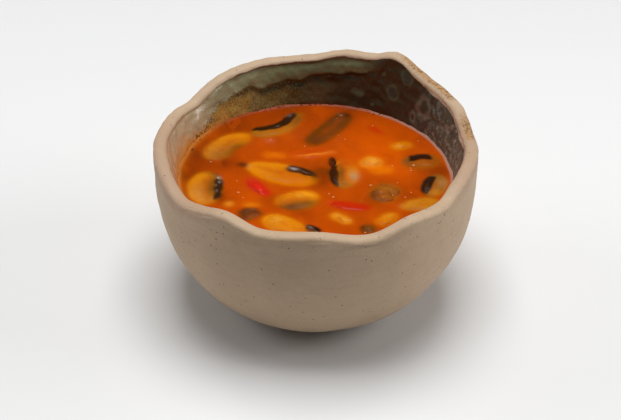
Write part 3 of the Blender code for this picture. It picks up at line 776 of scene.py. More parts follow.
# a touch or glint: place along, place across, reach along, reach across, colour, strength; glints are laid
# last, most of them painted highlights on wet places and a few dark marks
LOOKS = {
    # painted shade along the hollow side of this slice, and a painted highlight at its lower tip
    "mushroom_left_back": Look(GOLD, 0.8, None, [
        (0.70, 0.00, 0.55, 0.90, (0.370, 0.138, 0.014), 0.95),
        (0.95, 0.20, 0.25, 0.80, (0.260, 0.095, 0.008), 0.8),
        (-0.15, 0.80, 0.70, 0.60, OLIVE_PAINTED_SHADE, 1.00), (0.50, 1.00, 0.40, 0.60, OLIVE_PAINTED_SHADE, 0.90),
        (1.00, -0.15, 0.08, 0.30, ROSE_HIGHLIGHT, 0.7)], taper=0.12),
    "mushroom_left": Look((0.570, 0.190, 0.002), 0.7, Gill(0.50, -1.1, 1.0, INK, 0.25), [
        (0.40, -0.35, 0.50, 0.50, (0.560, 0.230, 0.035), 0.8), (-0.60, -0.40, 0.40, 0.55, YELLOW, 0.3),
        (0.00, 0.38, 1.10, 0.34, (0.170, 0.064, 0.003), 1.0),
        (-0.98, 0.10, 0.20, 1.20, (0.180, 0.040, 0.002), 0.9),
        (0.90, 0.10, 0.25, 0.60, (0.520, 0.150, 0.004), 0.6)],
        glints=[(-0.76, 0.66, 0.09, 0.12, (0.60, 0.42, 0.30), 0.9),
                (-0.42, 0.78, 0.12, 0.08, LILAC_HIGHLIGHT, 0.7), (-0.10, 0.62, 0.08, 0.05, LILAC_HIGHLIGHT, 0.4),
                (0.30, 0.72, 0.10, 0.08, LILAC_HIGHLIGHT, 0.4)]),
    "mushroom_back": Look((0.320, 0.110, 0.003), 0.85, Gill(0.10, -1.2, 1.3, INK, 0.2), [
        (-0.10, -0.55, 0.60, 0.45, (0.420, 0.130, 0.003), 0.8),
        (0.60, -0.40, 0.35, 0.60, OLIVE_PAINTED_SHADE, 0.8),
        (0.60, -0.98, 0.50, 0.34, (0.370, 0.047, 0.001), 1.0)],
        glints=[(0.78, 0.45, 0.22, 0.42, (0.040, 0.014, 0.008), 0.95),
                (0.80, 0.72, 0.12, 0.16, LILAC_HIGHLIGHT, 0.45), (-0.10, 0.45, 0.08, 0.08, LILAC_HIGHLIGHT, 0.4)]),
    "mushroom_centre": Look(GOLD, 0.75, Gill(0.20, -0.05, 1.30, INK, 0.3), [
        (-0.95, -0.25, 0.10, 0.35, ROSE_HIGHLIGHT, 0.9), (-0.62, -0.10, 0.40, 0.70, (0.640, 0.215, 0.002), 0.8),
        (0.45, -0.60, 0.55, 0.45, AMBER, 0.8),
        (0.98, -0.10, 0.16, 0.50, UMBER, 0.7)],
        glints=[(0.28, 0.62, 0.12, 0.14, (0.34, 0.27, 0.26), 0.9),
                (0.10, 0.50, 0.06, 0.06, UMBER, 0.8), (0.62, 0.50, 0.14, 0.06, LILAC_HIGHLIGHT, 0.35)], taper=0.22),
    "mushroom_middle": Look(AMBER, 0.85, Gill(0.46, -1.2, 0.60, INK, 0.25), [
        (0.10, -0.45, 0.36, 0.36, (0.560, 0.200, 0.010), 0.9),
        (-0.18, -0.66, 0.26, 0.34, (0.410, 0.235, 0.100), 1.0),
        (-0.05, 0.28, 0.90, 0.26, (0.150, 0.060, 0.004), 0.95), (-0.80, -0.20, 0.22, 0.80, MOSS, 0.8),
        (0.80, -0.20, 0.38, 0.80, (0.470, 0.072, 0.001), 0.95)],
        glints=[(-0.30, 0.60, 0.20, 0.06, UMBER, 0.6)]),
    "mushroom_right_back": Look((0.300, 0.075, 0.002), 0.9, Gill(0.12, -0.75, 0.75, INK, 0.2), [
        (-0.70, 0.00, 0.30, 0.60, (0.150, 0.060, 0.008), 0.9), (0.60, -0.50, 0.50, 0.60, DUSK, 0.6),
        (0.10, -0.40, 0.35, 0.30, (0.400, 0.110, 0.003), 0.6)],
        glints=[(0.10, 0.85, 0.25, 0.08, UMBER, 0.6)]),
    "mushroom_right": Look((0.300, 0.110, 0.012), 0.8, Gill(0.16, -1.1, 1.0, INK, 0.25), [
        (0.30, -0.55, 0.40, 0.42, (0.370, 0.180, 0.050), 0.9),
        (-0.60, -0.45, 0.30, 0.60, (0.500, 0.175, 0.005), 0.85),
        (0.85, 0.00, 0.25, 0.60, MOSS, 0.5)],
        glints=[(-0.30, 0.60, 0.22, 0.08, UMBER, 0.6)]),
    "mushroom_right_front": Look((0.490, 0.155, 0.003), 0.8, None, [
        (0.45, -0.20, 0.50, 0.60, (0.540, 0.195, 0.008), 0.9),
        (0.95, -0.50, 0.14, 0.50, ROSE_HIGHLIGHT, 0.5), (-0.50, 0.10, 0.45, 0.70, (0.560, 0.215, 0.006), 0.8)],
        taper=-0.35),
    "mushroom_front_left": Look(GOLD, 0.8, None, [
        (-0.60, -0.40, 0.38, 0.50, (0.720, 0.265, 0.006), 1.0),
        (-0.20, -0.30, 0.22, 0.28, (0.660, 0.265, 0.020), 0.7),
        (0.25, -0.90, 0.50, 0.26, (0.540, 0.120, 0.002), 0.8),
        (0.75, -0.10, 0.35, 0.70, (0.460, 0.115, 0.002), 0.9), (0.95, 0.30, 0.20, 0.50, UMBER, 0.7)],
        glints=[(-0.10, 0.55, 1.20, 0.42, (0.200, 0.066, 0.003), 0.95),
                (-0.10, 1.00, 1.20, 0.50, (0.190, 0.064, 0.003), 1.0),
                (-0.35, 0.95, 0.28, 0.25, MOSS, 0.7), (0.55, 0.60, 0.45, 0.45, UMBER, 0.8)]),
    "mushroom_front": Look(GOLD, 0.65, None, [
        (-0.45, 0.15, 0.34, 0.50, (0.640, 0.275, 0.020), 0.9), (-0.88, -0.10, 0.20, 0.60, YELLOW, 0.8),
        (0.30, 0.20, 0.35, 0.50, (0.640, 0.215, 0.003), 0.6), (0.85, 0.00, 0.25, 0.80, AMBER, 0.7)],
        taper=-0.12),
    "mushroom_front_right": Look(GOLD, 0.95, None, [
        (0.45, 0.10, 0.45, 0.60, (0.640, 0.205, 0.008), 0.9), (-0.70, 0.0, 0.3, 0.8, AMBER, 0.7)]),
    "mushroom_stalk": Look((0.125, 0.034, 0.001), 0.8, None, [
        (-0.80, -0.05, 0.35, 0.90, (0.095, 0.028, 0.002), 0.9),
        (0.50, 0.10, 0.30, 0.60, (0.125, 0.036, 0.006), 0.8),
        (-0.30, -0.80, 0.40, 0.40, (0.185, 0.040, 0.001), 0.8),
        (0.92, -0.20, 0.14, 0.60, INK, 0.95), (0.85, 0.80, 0.25, 0.40, UMBER, 0.7)],
        glints=[(0.80, 0.25, 0.035, 0.12, (0.50, 0.30, 0.22), 0.8), (0.55, 0.35, 0.03, 0.10, LILAC_HIGHLIGHT, 0.5)]),
    # painted highlight: the three thin bright touches along the ridge, across -0.26 to -0.05
    "tomato_wedge": Look(VERMILION, 0.8, None, [
        (-0.70, -0.20, 0.35, 0.20, (0.560, 0.095, 0.003), 0.8),
        (0.10, -0.26, 0.60, 0.17, (0.700, 0.175, 0.010), 1.0),
        (0.80, -0.05, 0.30, 0.18, (0.680, 0.190, 0.020), 1.0),
        (0.20, 0.50, 0.80, 0.38, (0.470, 0.050, 0.001), 0.9)]),
    "tomato_piece": Look(CRIMSON, 0.9, None, [
        (-0.90, 0.00, 0.45, 0.90, (0.440, 0.040, 0.003), 0.9),
        (0.20, 0.00, 0.35, 0.40, (0.620, 0.018, 0.010), 0.8)],
        glints=[(0.42, -0.20, 0.07, 0.16, (0.70, 0.11, 0.07), 0.8)]),
    "chilli_strip": Look(SCARLET, 0.8, None, [
        (-0.92, 0.10, 0.14, 0.80, (0.540, 0.085, 0.010), 0.7),
        (0.0, 0.2, 0.6, 0.4, (0.520, 0.020, 0.001), 0.6)]),
    "chunk_right": Look((0.640, 0.190, 0.004), 0.85, None, [
        (0.20, 0.15, 0.55, 0.55, BLAZE, 0.95), (-0.60, 0.20, 0.30, 0.40, PEACH, 0.9),
        (-0.50, -0.70, 0.40, 0.50, GLOW, 0.9)]),
    "chunk_right_back": Look(GOLD, 0.95, None, [
        (-0.30, 0.10, 0.42, 0.50, (0.690, 0.235, 0.014), 0.9)]),
    "chunk_front": Look(GOLD, 0.75, None, [
        (-0.50, 0.20, 0.26, 0.55, BLAZE, 0.85), (0.42, 0.20, 0.34, 0.50, BLAZE, 0.8)]),
    "brown_chunk": Look((0.280, 0.078, 0.004), 0.85, None, [
        (0.40, 0.05, 0.42, 0.55, (0.370, 0.120, 0.010), 0.9),
        (-0.35, -0.15, 0.30, 0.30, (0.330, 0.100, 0.008), 0.7),
        (-0.60, 0.50, 0.40, 0.42, (0.140, 0.036, 0.001), 0.95), (0.50, 0.95, 0.40, 0.30, OLIVE_PAINTED_SHADE, 0.6),
        (-1.00, -0.20, 0.22, 0.60, UMBER, 0.9), (-0.30, -0.85, 0.50, 0.30, (0.330, 0.080, 0.002), 0.7)],
        glints=[(-0.18, 0.10, 0.05, 0.07, (0.5, 0.22, 0.10), 0.7), (-0.55, -0.25, 0.05, 0.06, PALE_HIGHLIGHT, 0.6)]),
    "brown_piece_left": Look((0.110, 0.028, 0.003), 0.75, None, [
        (0.20, 0.30, 0.45, 0.35, (0.150, 0.048, 0.014), 0.7), (0.1, -0.8, 0.7, 0.4, DUSK, 0.8)],
        glints=[(0.50, 0.50, 0.06, 0.07, (0.5, 0.33, 0.25), 0.8), (0.15, 0.62, 0.04, 0.05, LILAC_HIGHLIGHT, 0.8)]),
    "brown_piece_front": Look((0.140, 0.042, 0.002), 0.65, None, [
        (-0.75, 0.30, 0.25, 0.80, INK, 0.9), (0.3, 0.0, 0.45, 0.5, (0.190, 0.062, 0.003), 0.7)]),
    "bit_dark": Look((0.060, 0.016, 0.001), 0.9),
    "bit_pale": Look((0.660, 0.220, 0.010), 0.9),
    "bit_strip": Look((0.620, 0.165, 0.002), 0.9),
    "bit_streak": Look((0.610, 0.125, 0.001), 0.9),
    "bit_glow": Look((0.710, 0.175, 0.001), 0.95),
    "bit_pink": Look((0.460, 0.085, 0.022), 0.8),
    "bit_red": Look((0.430, 0.020, 0.001), 0.9),
    "bit_gill": Look((0.080, 0.030, 0.006), 0.6, Gill(-0.2, -1.1, 1.1, INK, 0.2),
                     glints=[(-0.3, 0.1, 0.4, 0.25, LILAC_HIGHLIGHT, 0.7)]),
    # painted shadow beside the middle slice
    "bit_painted_shadow": Look((0.150, 0.030, 0.001), 0.9),
    "bit_gill_end": Look((0.022, 0.007, 0.001), 0.5),
    "bit_hidden_a": Look(PEACH, 0.9),
    "bit_hidden_b": Look(GOLD, 0.9, Gill(0.3, -1.1, 1.1, INK, 0.3)),
    "bit_hidden_c": Look((0.129, 0.036, 0.003), 0.9),
    "bit_hidden_d": Look(SCARLET, 0.9),
}
print("pieces:", len(PIECES), "and bits:", len(BITS))

# %% [markdown]
# ## The broth's colour from place to place
#
# Creamy broth hides what is under it within a few millimetres.  So one function gives the
# colour of deep broth at a place, another says how much of a thing's own colour is left at a
# depth below the surface, and both the soup and the wet pieces use them.


# %% Broth colour and depth
BROTH = (0.415, 0.055, 0.0006)
# dark broth, and once a painted shadow
DARK_BROTH_AND_SHADOW = (0.150, 0.021, 0.0006)
BRIGHT_BROTH = (0.570, 0.080, 0.0006)
RED_BROTH = (0.300, 0.038, 0.0006)
THIN_BROTH = (0.500, 0.160, 0.006)
CLEAR_DEPTH = 1.3                            # mm of broth that leave a third of a thing's colour
# x, y and reach in mm, colour, strength
BROTH_PATCHES = [
    (-54, 18, 15, DARK_BROTH_AND_SHADOW, 0.9), (-38, 44, 14, DARK_BROTH_AND_SHADOW, 0.9), (-58, 0, 9, DARK_BROTH_AND_SHADOW, 0.9),
    (-54, -15, 8, DARK_BROTH_AND_SHADOW, 0.6), (-25, 49, 12, RED_BROTH, 0.8), (-12, 54, 12, DARK_BROTH_AND_SHADOW, 0.6),
    (3, 46, 16, RED_BROTH, 0.6), (15, 54, 6, DARK_BROTH_AND_SHADOW, 0.6), (3, 2, 7, DARK_BROTH_AND_SHADOW, 0.8),
    (26, 22, 16, BRIGHT_BROTH, 0.9), (34, 6, 13, BRIGHT_BROTH, 0.6), (47, 33, 9, RED_BROTH, 0.6),
    (44, -12, 9, RED_BROTH, 0.8), (54, 6, 8, DARK_BROTH_AND_SHADOW, 0.7), (27, -5, 8, RED_BROTH, 0.6),
    # painted shadow: the dark patch at -40, 9 stands for the shade under the lower end of the left-back
    # slice
    (-40, -18, 5, DARK_BROTH_AND_SHADOW, 0.6), (-40, 9, 4.5, DARK_BROTH_AND_SHADOW, 0.9), (-27, -18, 6, BRIGHT_BROTH, 0.4),
    (-6, -29, 5, RED_BROTH, 0.8), (-17, -19, 6, RED_BROTH, 0.7), (-33, 6, 8, RED_BROTH, 0.5),
    (-6, 29, 9, RED_BROTH, 0.3), (20, -45, 12, RED_BROTH, 0.4), (22, -19, 6, RED_BROTH, 0.7),
    (-2, 12, 6, DARK_BROTH_AND_SHADOW, 0.3), (2, -5, 6, DARK_BROTH_AND_SHADOW, 0.6), (12, 24, 8, RED_BROTH, 0.3),
]


def broth_colour(x, y):
    """Colour of deep broth at x, y in mm: a base, soft round patches, one of them a painted shadow, and
    slow swirls.
    """
    colour = np.zeros(np.shape(x) + (3,)) + BROTH
    for px, py, reach, shade, strength in BROTH_PATCHES:
        share = strength * np.exp(-((x - px) ** 2 + (y - py) ** 2) / reach ** 2)
        colour = blend(colour, shade, share)
    flat = np.stack([x, y, np.zeros(np.shape(x))], axis=-1)
    swirl = uneven(flat + 2.0 * uneven(flat, 12.0, 31)[..., None], 9.0, 32)
    colour = blend(colour, RED_BROTH, 0.22 * smoothstep(0.1, 1.2, swirl))
    return blend(colour, BRIGHT_BROTH, 0.25 * smoothstep(0.1, 1.2, -swirl))


def left_at_depth(depth):
    """Share of a thing's own colour that is left at a depth in mm: all above the surface."""
    return np.exp(-depth.clip(0.0, None) / CLEAR_DEPTH)


print("share left at 0, 1 and 2 mm:", left_at_depth(np.array([0.0, 1.0, 2.0])).round(2))

# %% [markdown]
# ## One surface for every piece
#
# A piece is made lying along X, flat, then bent, leaned and turned to its place.  Soft food
# sags, and the soup climbs it a little, so above the soup its flank is drawn out into a foot
# that meets the surface smoothly.


# %% The bean
SETTLED = 0.50                               # share of a piece's height that stands out
LUMPS_PER_MM = 0.9                           # angular frequency of the lumps along a piece
TOP_LUMPS = 0.8                              # how much slower the lumps of its height run
SIDE_TWIST = 2.0                             # how far the side's lumps turn with the height
TOP_TWIST = 4.0                              # how far the top's lumps turn with the width
TOP_SHIFT = 1.0                              # where the top's lumps start
WEDGE_FALL = 0.55                            # mm that a wedge falls away beside its ridge
FIRST_SEED = 1000


def paint(colour, along, across, touches):
    """Lay soft oval touches of colour over one another; each fades as exp(-distance^2)."""
    for u, v, reach_u, reach_v, shade, strength in touches:
        far = ((along - u) / reach_u) ** 2 + ((across - v) / reach_v) ** 2
        colour = blend(colour, shade, strength * np.exp(-far))
    return colour


def bean(piece, look, rows, columns):
    """One piece's surface, with its gill mask and its painted colour, painted shade and highlights
    included; lengths in mm.

    Along the rod x goes from -1 to 1 as -cos.  The ends close as (1 - |x|^blunt)^(1/blunt),
    and the section is |side|^square + |up|^square = 1.  Two sines add lumps.  The rod is then
    wrapped on a circle of radius length / bend, leaned about its own line, turned to its
    heading, and set so that its top stands the piece's rise above the soup.  A height h above
    the soup becomes settled * rise * s(h / rise), where s is an S-shaped cubic."""
    blunt, square, lumps = KINDS[piece.kind]
    half = np.array((piece.length, piece.width, piece.thickness)) / 2.0
    along = -np.cos(np.linspace(0.0, np.pi, rows))[:, None]
    turn = np.linspace(0.0, 2.0 * np.pi, columns, endpoint=False)
    end = (1.0 - np.abs(along) ** blunt).clip(0.0) ** (1.0 / blunt)
    edge = signed_power(np.cos(turn), 2.0 / square) + 0.0 * along
    crown = signed_power(np.sin(turn), 2.0 / square) + 0.0 * along
    side, up = edge * end, crown * end
    phase = LUMPS_PER_MM * along * half[0]
    x = along * half[0] + 0.0 * side
    y = side * (1.0 + look.taper * along) * half[1]
    y = y + lumps * end * np.sin(phase + SIDE_TWIST * up)
    z = up * half[2] + lumps * end * np.sin(TOP_LUMPS * phase + TOP_TWIST * side + TOP_SHIFT)

    seed = int(FIRST_SEED + abs(piece.x) * 10 + abs(piece.y))
    flat = np.stack([x, y, z], axis=-1)
    z = z + end * (0.16 * uneven(flat, 7.0, seed) + 0.03 * uneven(flat, 2.2, seed + 1))
    y = y + end * 0.30 * uneven(flat, 6.0, seed + 2)
    gill = np.zeros(x.shape)
    top = smoothstep(-0.2, 0.4, up)
    if look.gill:
        start, first, last = look.gill.start, look.gill.first * 100.0, look.gill.last * 100.0
        wander = 0.04 * uneven(flat, 6.0, seed + 3)
        gill = (smoothstep(start - 0.14, start + 0.14, edge + wander) * top
                * around(along * 100.0, first, first + 25.0, last - 25.0, last))
        ridges = np.cos(2.0 * np.pi * (x / 0.95 + 0.35 * uneven(flat, 3.0, seed + 4)))
        z = z - gill * (look.gill.depth + 0.08 * ridges)
    if piece.kind == "wedge":
        z = z - WEDGE_FALL * np.abs(edge + 0.15) * end * top
    if piece.kind in ("brown", "chunk"):
        z = z + end * (0.30 * uneven(flat, 4.5, seed + 5) + 0.08 * uneven(flat, 1.8, seed + 7))

    colour = np.zeros(x.shape + (3,)) + look.flesh
    across = edge * end ** 0.3
    colour = paint(colour, along, across, look.touches)
    mottle = 0.16 if piece.kind == "brown" else 0.05
    colour = colour * (1.0 + mottle * uneven(flat, 2.4, seed + 6))[..., None]
    if look.gill:
        colour = blend(colour, look.gill.colour, gill * 0.96)
        colour = blend(colour, colour * 2.5, gill * 0.3 * smoothstep(0.2, 1.0, -ridges))
    # painted highlights, with a few dark marks, laid over the gills last
    colour = paint(colour, along, across, look.glints)

    if piece.bend:
        arc = np.radians(piece.bend)
        radius = piece.length / arc
        swing = x / radius
        middle = radius * (1.0 - np.cos(arc / 2.0)) / 2.0
        x, y = (radius - y) * np.sin(swing), radius - (radius - y) * np.cos(swing) - middle
    y, z = turned(y, z, np.radians(piece.lean))
    x, y = turned(x, y, np.radians(piece.heading))
    z = z - z.max() + piece.rise
    if piece.rise > 0.0:
        z = np.where(z > 0.0, SETTLED * piece.rise * smoothstep(0.0, piece.rise, z), z)
    return np.stack([x + piece.x, y + piece.y, z], axis=-1), gill, colour


Solid = namedtuple("Solid", "points gill colour soak")
PIECE_GRID = (150, 104)                      # rows and columns
BIT_GRID = (60, 48)


def make_solid(name, piece, rows, columns):
    """A piece's surface with how far it soaks: gills take up little of the broth's colour."""
    points, gill, colour = bean(piece, LOOKS[name], rows, columns)
    return Solid(points, gill, colour, LOOKS[name].soak * (1.0 - 0.9 * gill))


solids = {name: make_solid(name, piece, *PIECE_GRID) for name, piece in PIECES.items()}
bits = {name: make_solid(name, piece, *BIT_GRID) for name, piece in BITS.items()}
print("highest piece, mm above the soup:", max(s.points[..., 2].max() for s in solids.values()))

# %% [markdown]
# ## A map of what lies under the surface
#
# The soup has to know what is under each of its points, and how deep, and a piece has to know
# where it dips under.  Every piece's upper surface is dropped onto a fine square raster, like
# seeds on a sieve, and the highest stays.  Blurred, the raster gives the soft edge that a
# thing has in creamy broth, the same for the piece and for the soup that covers its flank.

# %% What lies under the surface
CELL = 0.4                                   # mm
HALF_SPAN = 64.0                             # mm from the middle to the raster's side
RASTER = int(2.0 * HALF_SPAN / CELL)
FAR_BELOW = -60.0                            # mm, the height where nothing lies
SKIN_OF_BROTH = 0.2                          # mm of depth through which a thing still shows whole
COLOUR_SPREAD = 0.9                          # mm of blur of a thing's colour
VEIL = 0.06                                  # share of broth over a thing that is soaked
CLING_DEPTH = 0.3                            # mm under the surface from where the soup clings
CLING_REACH = 0.8                            # mm of blur of that clinging
CRISP_EDGE = 0.35                            # mm of blur where a thing has taken up no broth
HAZY_EDGE = 1.2                              # mm of blur where it is soaked


def soften(values, reach):
    """Gaussian blur over the raster's first two axes; reach in mm."""
    most = int(3.0 * reach / CELL) + 1
    steps = np.arange(-most, most + 1)
    weights = np.exp(-0.5 * (steps * CELL / reach) ** 2)
    weights /= weights.sum()
    for axis in (0, 1):
        values = sum(w * np.roll(values, s, axis=axis) for w, s in zip(weights, steps))
    return values


def drop_on_raster(things):
    """Height in mm, colour and soak of the topmost surface in each cell.

    All points are sorted by height and written in that order, so the highest one stays."""
    points = np.concatenate([t.points.reshape(-1, 3) for t in things])
    colour = np.concatenate([t.colour.reshape(-1, 3) for t in things])
    soak = np.concatenate([t.soak.ravel() for t in things])
    order = np.argsort(points[:, 2])
    cell = ((points[order, :2] + HALF_SPAN) / CELL).astype(int)
    height = np.full((RASTER, RASTER), FAR_BELOW)
    shade = np.zeros((RASTER, RASTER, 3))
    soaked = np.ones((RASTER, RASTER))
    height[cell[:, 0], cell[:, 1]] = points[order, 2]
    shade[cell[:, 0], cell[:, 1]] = colour[order]
    soaked[cell[:, 0], cell[:, 1]] = soak[order]
    return height, shade, soaked


def from_raster(values, x, y):
    """The raster's value at x, y in mm, straight-line between cells."""
    u = ((x + HALF_SPAN) / CELL - 0.5).clip(0, RASTER - 1.001)
    v = ((y + HALF_SPAN) / CELL - 0.5).clip(0, RASTER - 1.001)
    i, j = u.astype(int), v.astype(int)
    s, t = u - i, v - j
    if values.ndim == 3:
        s, t = s[..., None], t[..., None]
    low = values[i, j] * (1.0 - s) + values[i + 1, j] * s
    high = values[i, j + 1] * (1.0 - s) + values[i + 1, j + 1] * s
    return low * (1.0 - t) + high * t


under_height, under_shade, under_soak = drop_on_raster([*solids.values(), *bits.values()])
seen = left_at_depth(-under_height - SKIN_OF_BROTH)
near = soften(seen, COLOUR_SPREAD) + 1e-6
near_soak = soften(under_soak * seen, COLOUR_SPREAD) / near
soft_shade = soften(under_shade * seen[..., None], COLOUR_SPREAD) / near[..., None]
soft_share = (soften(seen, CRISP_EDGE) * (1.0 - near_soak)
              + soften(seen, HAZY_EDGE) * near_soak) * (1.0 - VEIL * near_soak)
standing = soften((under_height > -CLING_DEPTH).astype(float), CLING_REACH)
print(f"things show through {100.0 * (soft_share > 0.1).mean():.0f}% of the raster")


# %% Hang them in the frame
GILL_KEEPS = 0.7                             # share of the broth's veil that a gill sheds


def piece_object(name, solid):
    """Mesh for one piece.  Its colour fades to the broth's at its outline, its gills less."""
    x, y, z = np.moveaxis(solid.points, -1, 0)
    share = from_raster(soft_share, x, y)
    share = share + (1.0 - share) * GILL_KEEPS * solid.gill
    tone = blend(broth_colour(x, y), solid.colour, share)
    obj = skin(name, from_level(x, y, z), tone=tone, gill=solid.gill)
    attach(obj, "root")
    return obj


# the finished object of each piece and bit, by its name
floating = {}
for name, solid in solids.items():
    floating[name] = piece_object(name + "_flesh", solid)
    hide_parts(name)
for name, solid in bits.items():
    floating[name] = piece_object(name, solid)
print("floating pieces:", len(floating))


# %% Wet finishes
def wet_finish(name, grain, grain_depth, roughness, mottle):
    """A wet food surface: the mesh's own tone, slowly mottled, with a fine soft grain.

    The grain's size and depth are in mm.  It gives the finish and its tone, roughness, normal
    and coat, because several pieces are dressed in it."""
    f = Finish(name)
    gill = f.value("gill")
    tone = f.colour("tone")
    tone = f.tint(f.noise(grain * 3.0, 2.0) * mottle, tone, (0.60, 0.48, 0.40))
    normal = f.bump((f.noise(grain, 2.0), grain_depth * 0.4), (f.noise(grain * 4.0), grain_depth))
    shine = roughness + (f.noise(2.5) - 0.5) * 0.10 - gill * 0.10
    return f, tone, shine, normal, gill * 0.06


WET = {
    "mushroom": wet_finish("mushroom_flesh", 0.9, 0.04, 0.42, 0.15),
    "cap": wet_finish("cap_flesh", 0.9, 0.04, 0.42, 0.15),
    "stalk": wet_finish("stalk_flesh", 0.8, 0.05, 0.40, 0.30),
    "chunk": wet_finish("pale_meat", 0.7, 0.06, 0.42, 0.20),
    "brown": wet_finish("brown_meat", 0.5, 0.12, 0.46, 0.60),
    "wedge": wet_finish("tomato_wedge_skin", 1.4, 0.04, 0.30, 0.15),
    "tomato": wet_finish("tomato_skin", 1.2, 0.05, 0.30, 0.15),
    "chilli": wet_finish("chilli_skin", 1.0, 0.04, 0.30, 0.15),
}
for name, obj in floating.items():
    kind = (PIECES | BITS)[name].kind
    f, tone, shine, normal, coat = WET[kind]
    f.done(obj, Base_Color=tone, Roughness=shine, Normal=normal, Coat_Weight=coat,
           Coat_Roughness=0.15, Specular_IOR_Level=0.07)
print("wet finishes:", len(WET))

# %% [markdown]
# ## Beads and flecks
#
# Small beads of fat and bubbles sit on the broth and catch the light, and a few dark flecks of
# spice have gathered along the wall.  Hundreds of tiny things share one mesh: a small closed
# bead is copied by adding an axis to the arrays, one row for each copy.


# %% Many small beads in one mesh
BALL_RINGS = 6
BALL_COLUMNS = 10


def scatter(name, centres, sizes, headings, tones):
    """Copies of one small ball, each scaled along its own three axes, turned and coloured.

    A ball's points are (sin v cos u, sin v sin u, cos v) on its rings, and a pole at each end."""
    v = np.linspace(0.0, np.pi, BALL_RINGS + 2)[1:-1]
    u = np.linspace(0.0, 2.0 * np.pi, BALL_COLUMNS, endpoint=False)
    ring = np.stack([np.outer(np.sin(v), np.cos(u)), np.outer(np.sin(v), np.sin(u)),
                     np.outer(np.cos(v), np.ones(BALL_COLUMNS))], axis=-1).reshape(-1, 3)
    ball = np.concatenate([[(0.0, 0.0, 1.0)], ring, [(0.0, 0.0, -1.0)]])
    turn = np.radians(headings)[:, None]
    local = ball * sizes[:, None, :]
    x, y = turned(local[..., 0], local[..., 1], turn)
    points = from_level(x + centres[:, None, 0], y + centres[:, None, 1],
                        local[..., 2] + centres[:, None, 2])
    a = np.arange(BALL_COLUMNS)
    b = (a + 1) % BALL_COLUMNS
    row = 1 + BALL_COLUMNS * np.arange(BALL_RINGS - 1)[:, None]
    next_row = row + BALL_COLUMNS
    quads = np.stack([row + a, next_row + a, next_row + b, row + b], axis=-1).reshape(-1, 4)
    top = np.stack([np.zeros(BALL_COLUMNS, int), 1 + a, 1 + b], axis=-1)
    pole = len(ball) - 1
    last_row = pole - BALL_COLUMNS
    bottom = np.stack([np.full(BALL_COLUMNS, pole), last_row + b, last_row + a], axis=-1)
    shift = len(ball) * np.arange(len(centres))[:, None, None]
    faces = [*(quads + shift).reshape(-1, 4).tolist(), *(top + shift).reshape(-1, 3).tolist(),
             *(bottom + shift).reshape(-1, 3).tolist()]
    mesh = bpy.data.meshes.new(name)
    mesh.from_pydata(points.reshape(-1, 3), [], faces)
    mesh.shade_smooth()
    keep_attribute(mesh, "tone", np.repeat(tones, len(ball), axis=0))
    obj = in_scene(name, mesh)
    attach(obj, "root")
    return obj


# x, y and radius in mm
BEADS = np.array([
    (-34.1, -4.7, 0.45), (-33.1, -13.6, 0.75), (-5.2, 23.9, 0.50), (25.8, 42.2, 0.55),
    (43.1, 9.6, 0.90), (41.8, 5.6, 0.70), (41.6, 7.6, 0.45), (33.7, 9.3, 0.60),
    (23.8, -6.4, 0.80), (41.1, -11.3, 0.50), (5.8, -13.4, 0.60), (7.6, -15.8, 0.70),
    (14.9, -32.8, 0.60), (-20.6, 28.4, 0.50), (35.5, -4.0, 0.40), (46.0, 30.0, 0.40),
    (13.0, 30.5, 0.40), (-46.4, 9.8, 0.60), (38.4, -15.0, 0.60), (33.0, -14.2, 0.50),
    (-31.0, -17.5, 0.40), (20.8, -41.4, 0.60),
])
MORE_BEADS = 60                              # small ones, scattered evenly
BEADS_REACH = 57.0                           # mm from the middle
BEAD_SHAPE = np.array((0.85, 0.85, 0.45))    # flattened by its own weight
# pale fat colour, partly a painted glint
FAT_AND_GLINT = (0.70, 0.30, 0.10)
beads = np.random.default_rng(71)
bead_angle = beads.uniform(0.0, 2.0 * np.pi, MORE_BEADS)
bead_reach = BEADS_REACH * beads.uniform(0.0, 1.0, MORE_BEADS) ** 0.5
bead_place = np.concatenate([BEADS[:, :2], np.stack(polar(bead_reach, bead_angle), axis=-1)])
bead_radius = np.concatenate([BEADS[:, 2], beads.uniform(0.18, 0.36, MORE_BEADS)])
bead_base = from_raster(under_height, bead_place[:, 0], bead_place[:, 1]).clip(0.0)
bead_centre = np.concatenate([bead_place, bead_base[:, None]], axis=1)
bead_size = bead_radius[:, None] * BEAD_SHAPE
# painted highlight: the listed beads sit at bright dots and take 60% of the pale fat colour, the scattered
# ones 20%; partly the fat's own paler colour, partly a painted glint
bead_tone = blend(broth_colour(bead_place[:, 0], bead_place[:, 1]), FAT_AND_GLINT,
                  np.where(np.arange(len(bead_place)) < len(BEADS), 0.60, 0.20))
fat_beads = scatter("fat_beads", bead_centre, bead_size, np.zeros(len(bead_place)), bead_tone)

FLECKS = 46
FLECKS_REACH = 59.6                          # mm from the middle, where they gather at the wall
SPICE = (0.10, 0.018, 0.004)
flecks = np.random.default_rng(72)
fleck_angle = np.radians(flecks.uniform(60.0, 165.0, FLECKS))
fleck_reach = FLECKS_REACH - np.abs(flecks.normal(0.0, 1.0, FLECKS))
fleck_lift = 0.1 + 0.8 * np.exp(-(59.5 - fleck_reach).clip(0.0) / 0.9)
fleck_centre = np.stack([*polar(fleck_reach, fleck_angle), fleck_lift], axis=-1)
fleck_length = flecks.uniform(0.25, 0.65, FLECKS)
fleck_width = flecks.uniform(0.12, 0.28, FLECKS)
fleck_size = np.stack([fleck_length, fleck_width, np.full(FLECKS, 0.15)], axis=-1)
fleck_tone = flecks.uniform(0.4, 1.3, (FLECKS, 1)) * SPICE
fleck_heading = flecks.uniform(0.0, 180.0, FLECKS)
spice_flecks = scatter("spice_flecks", fleck_centre, fleck_size, fleck_heading, fleck_tone)
print("beads:", len(bead_place), "flecks:", FLECKS)


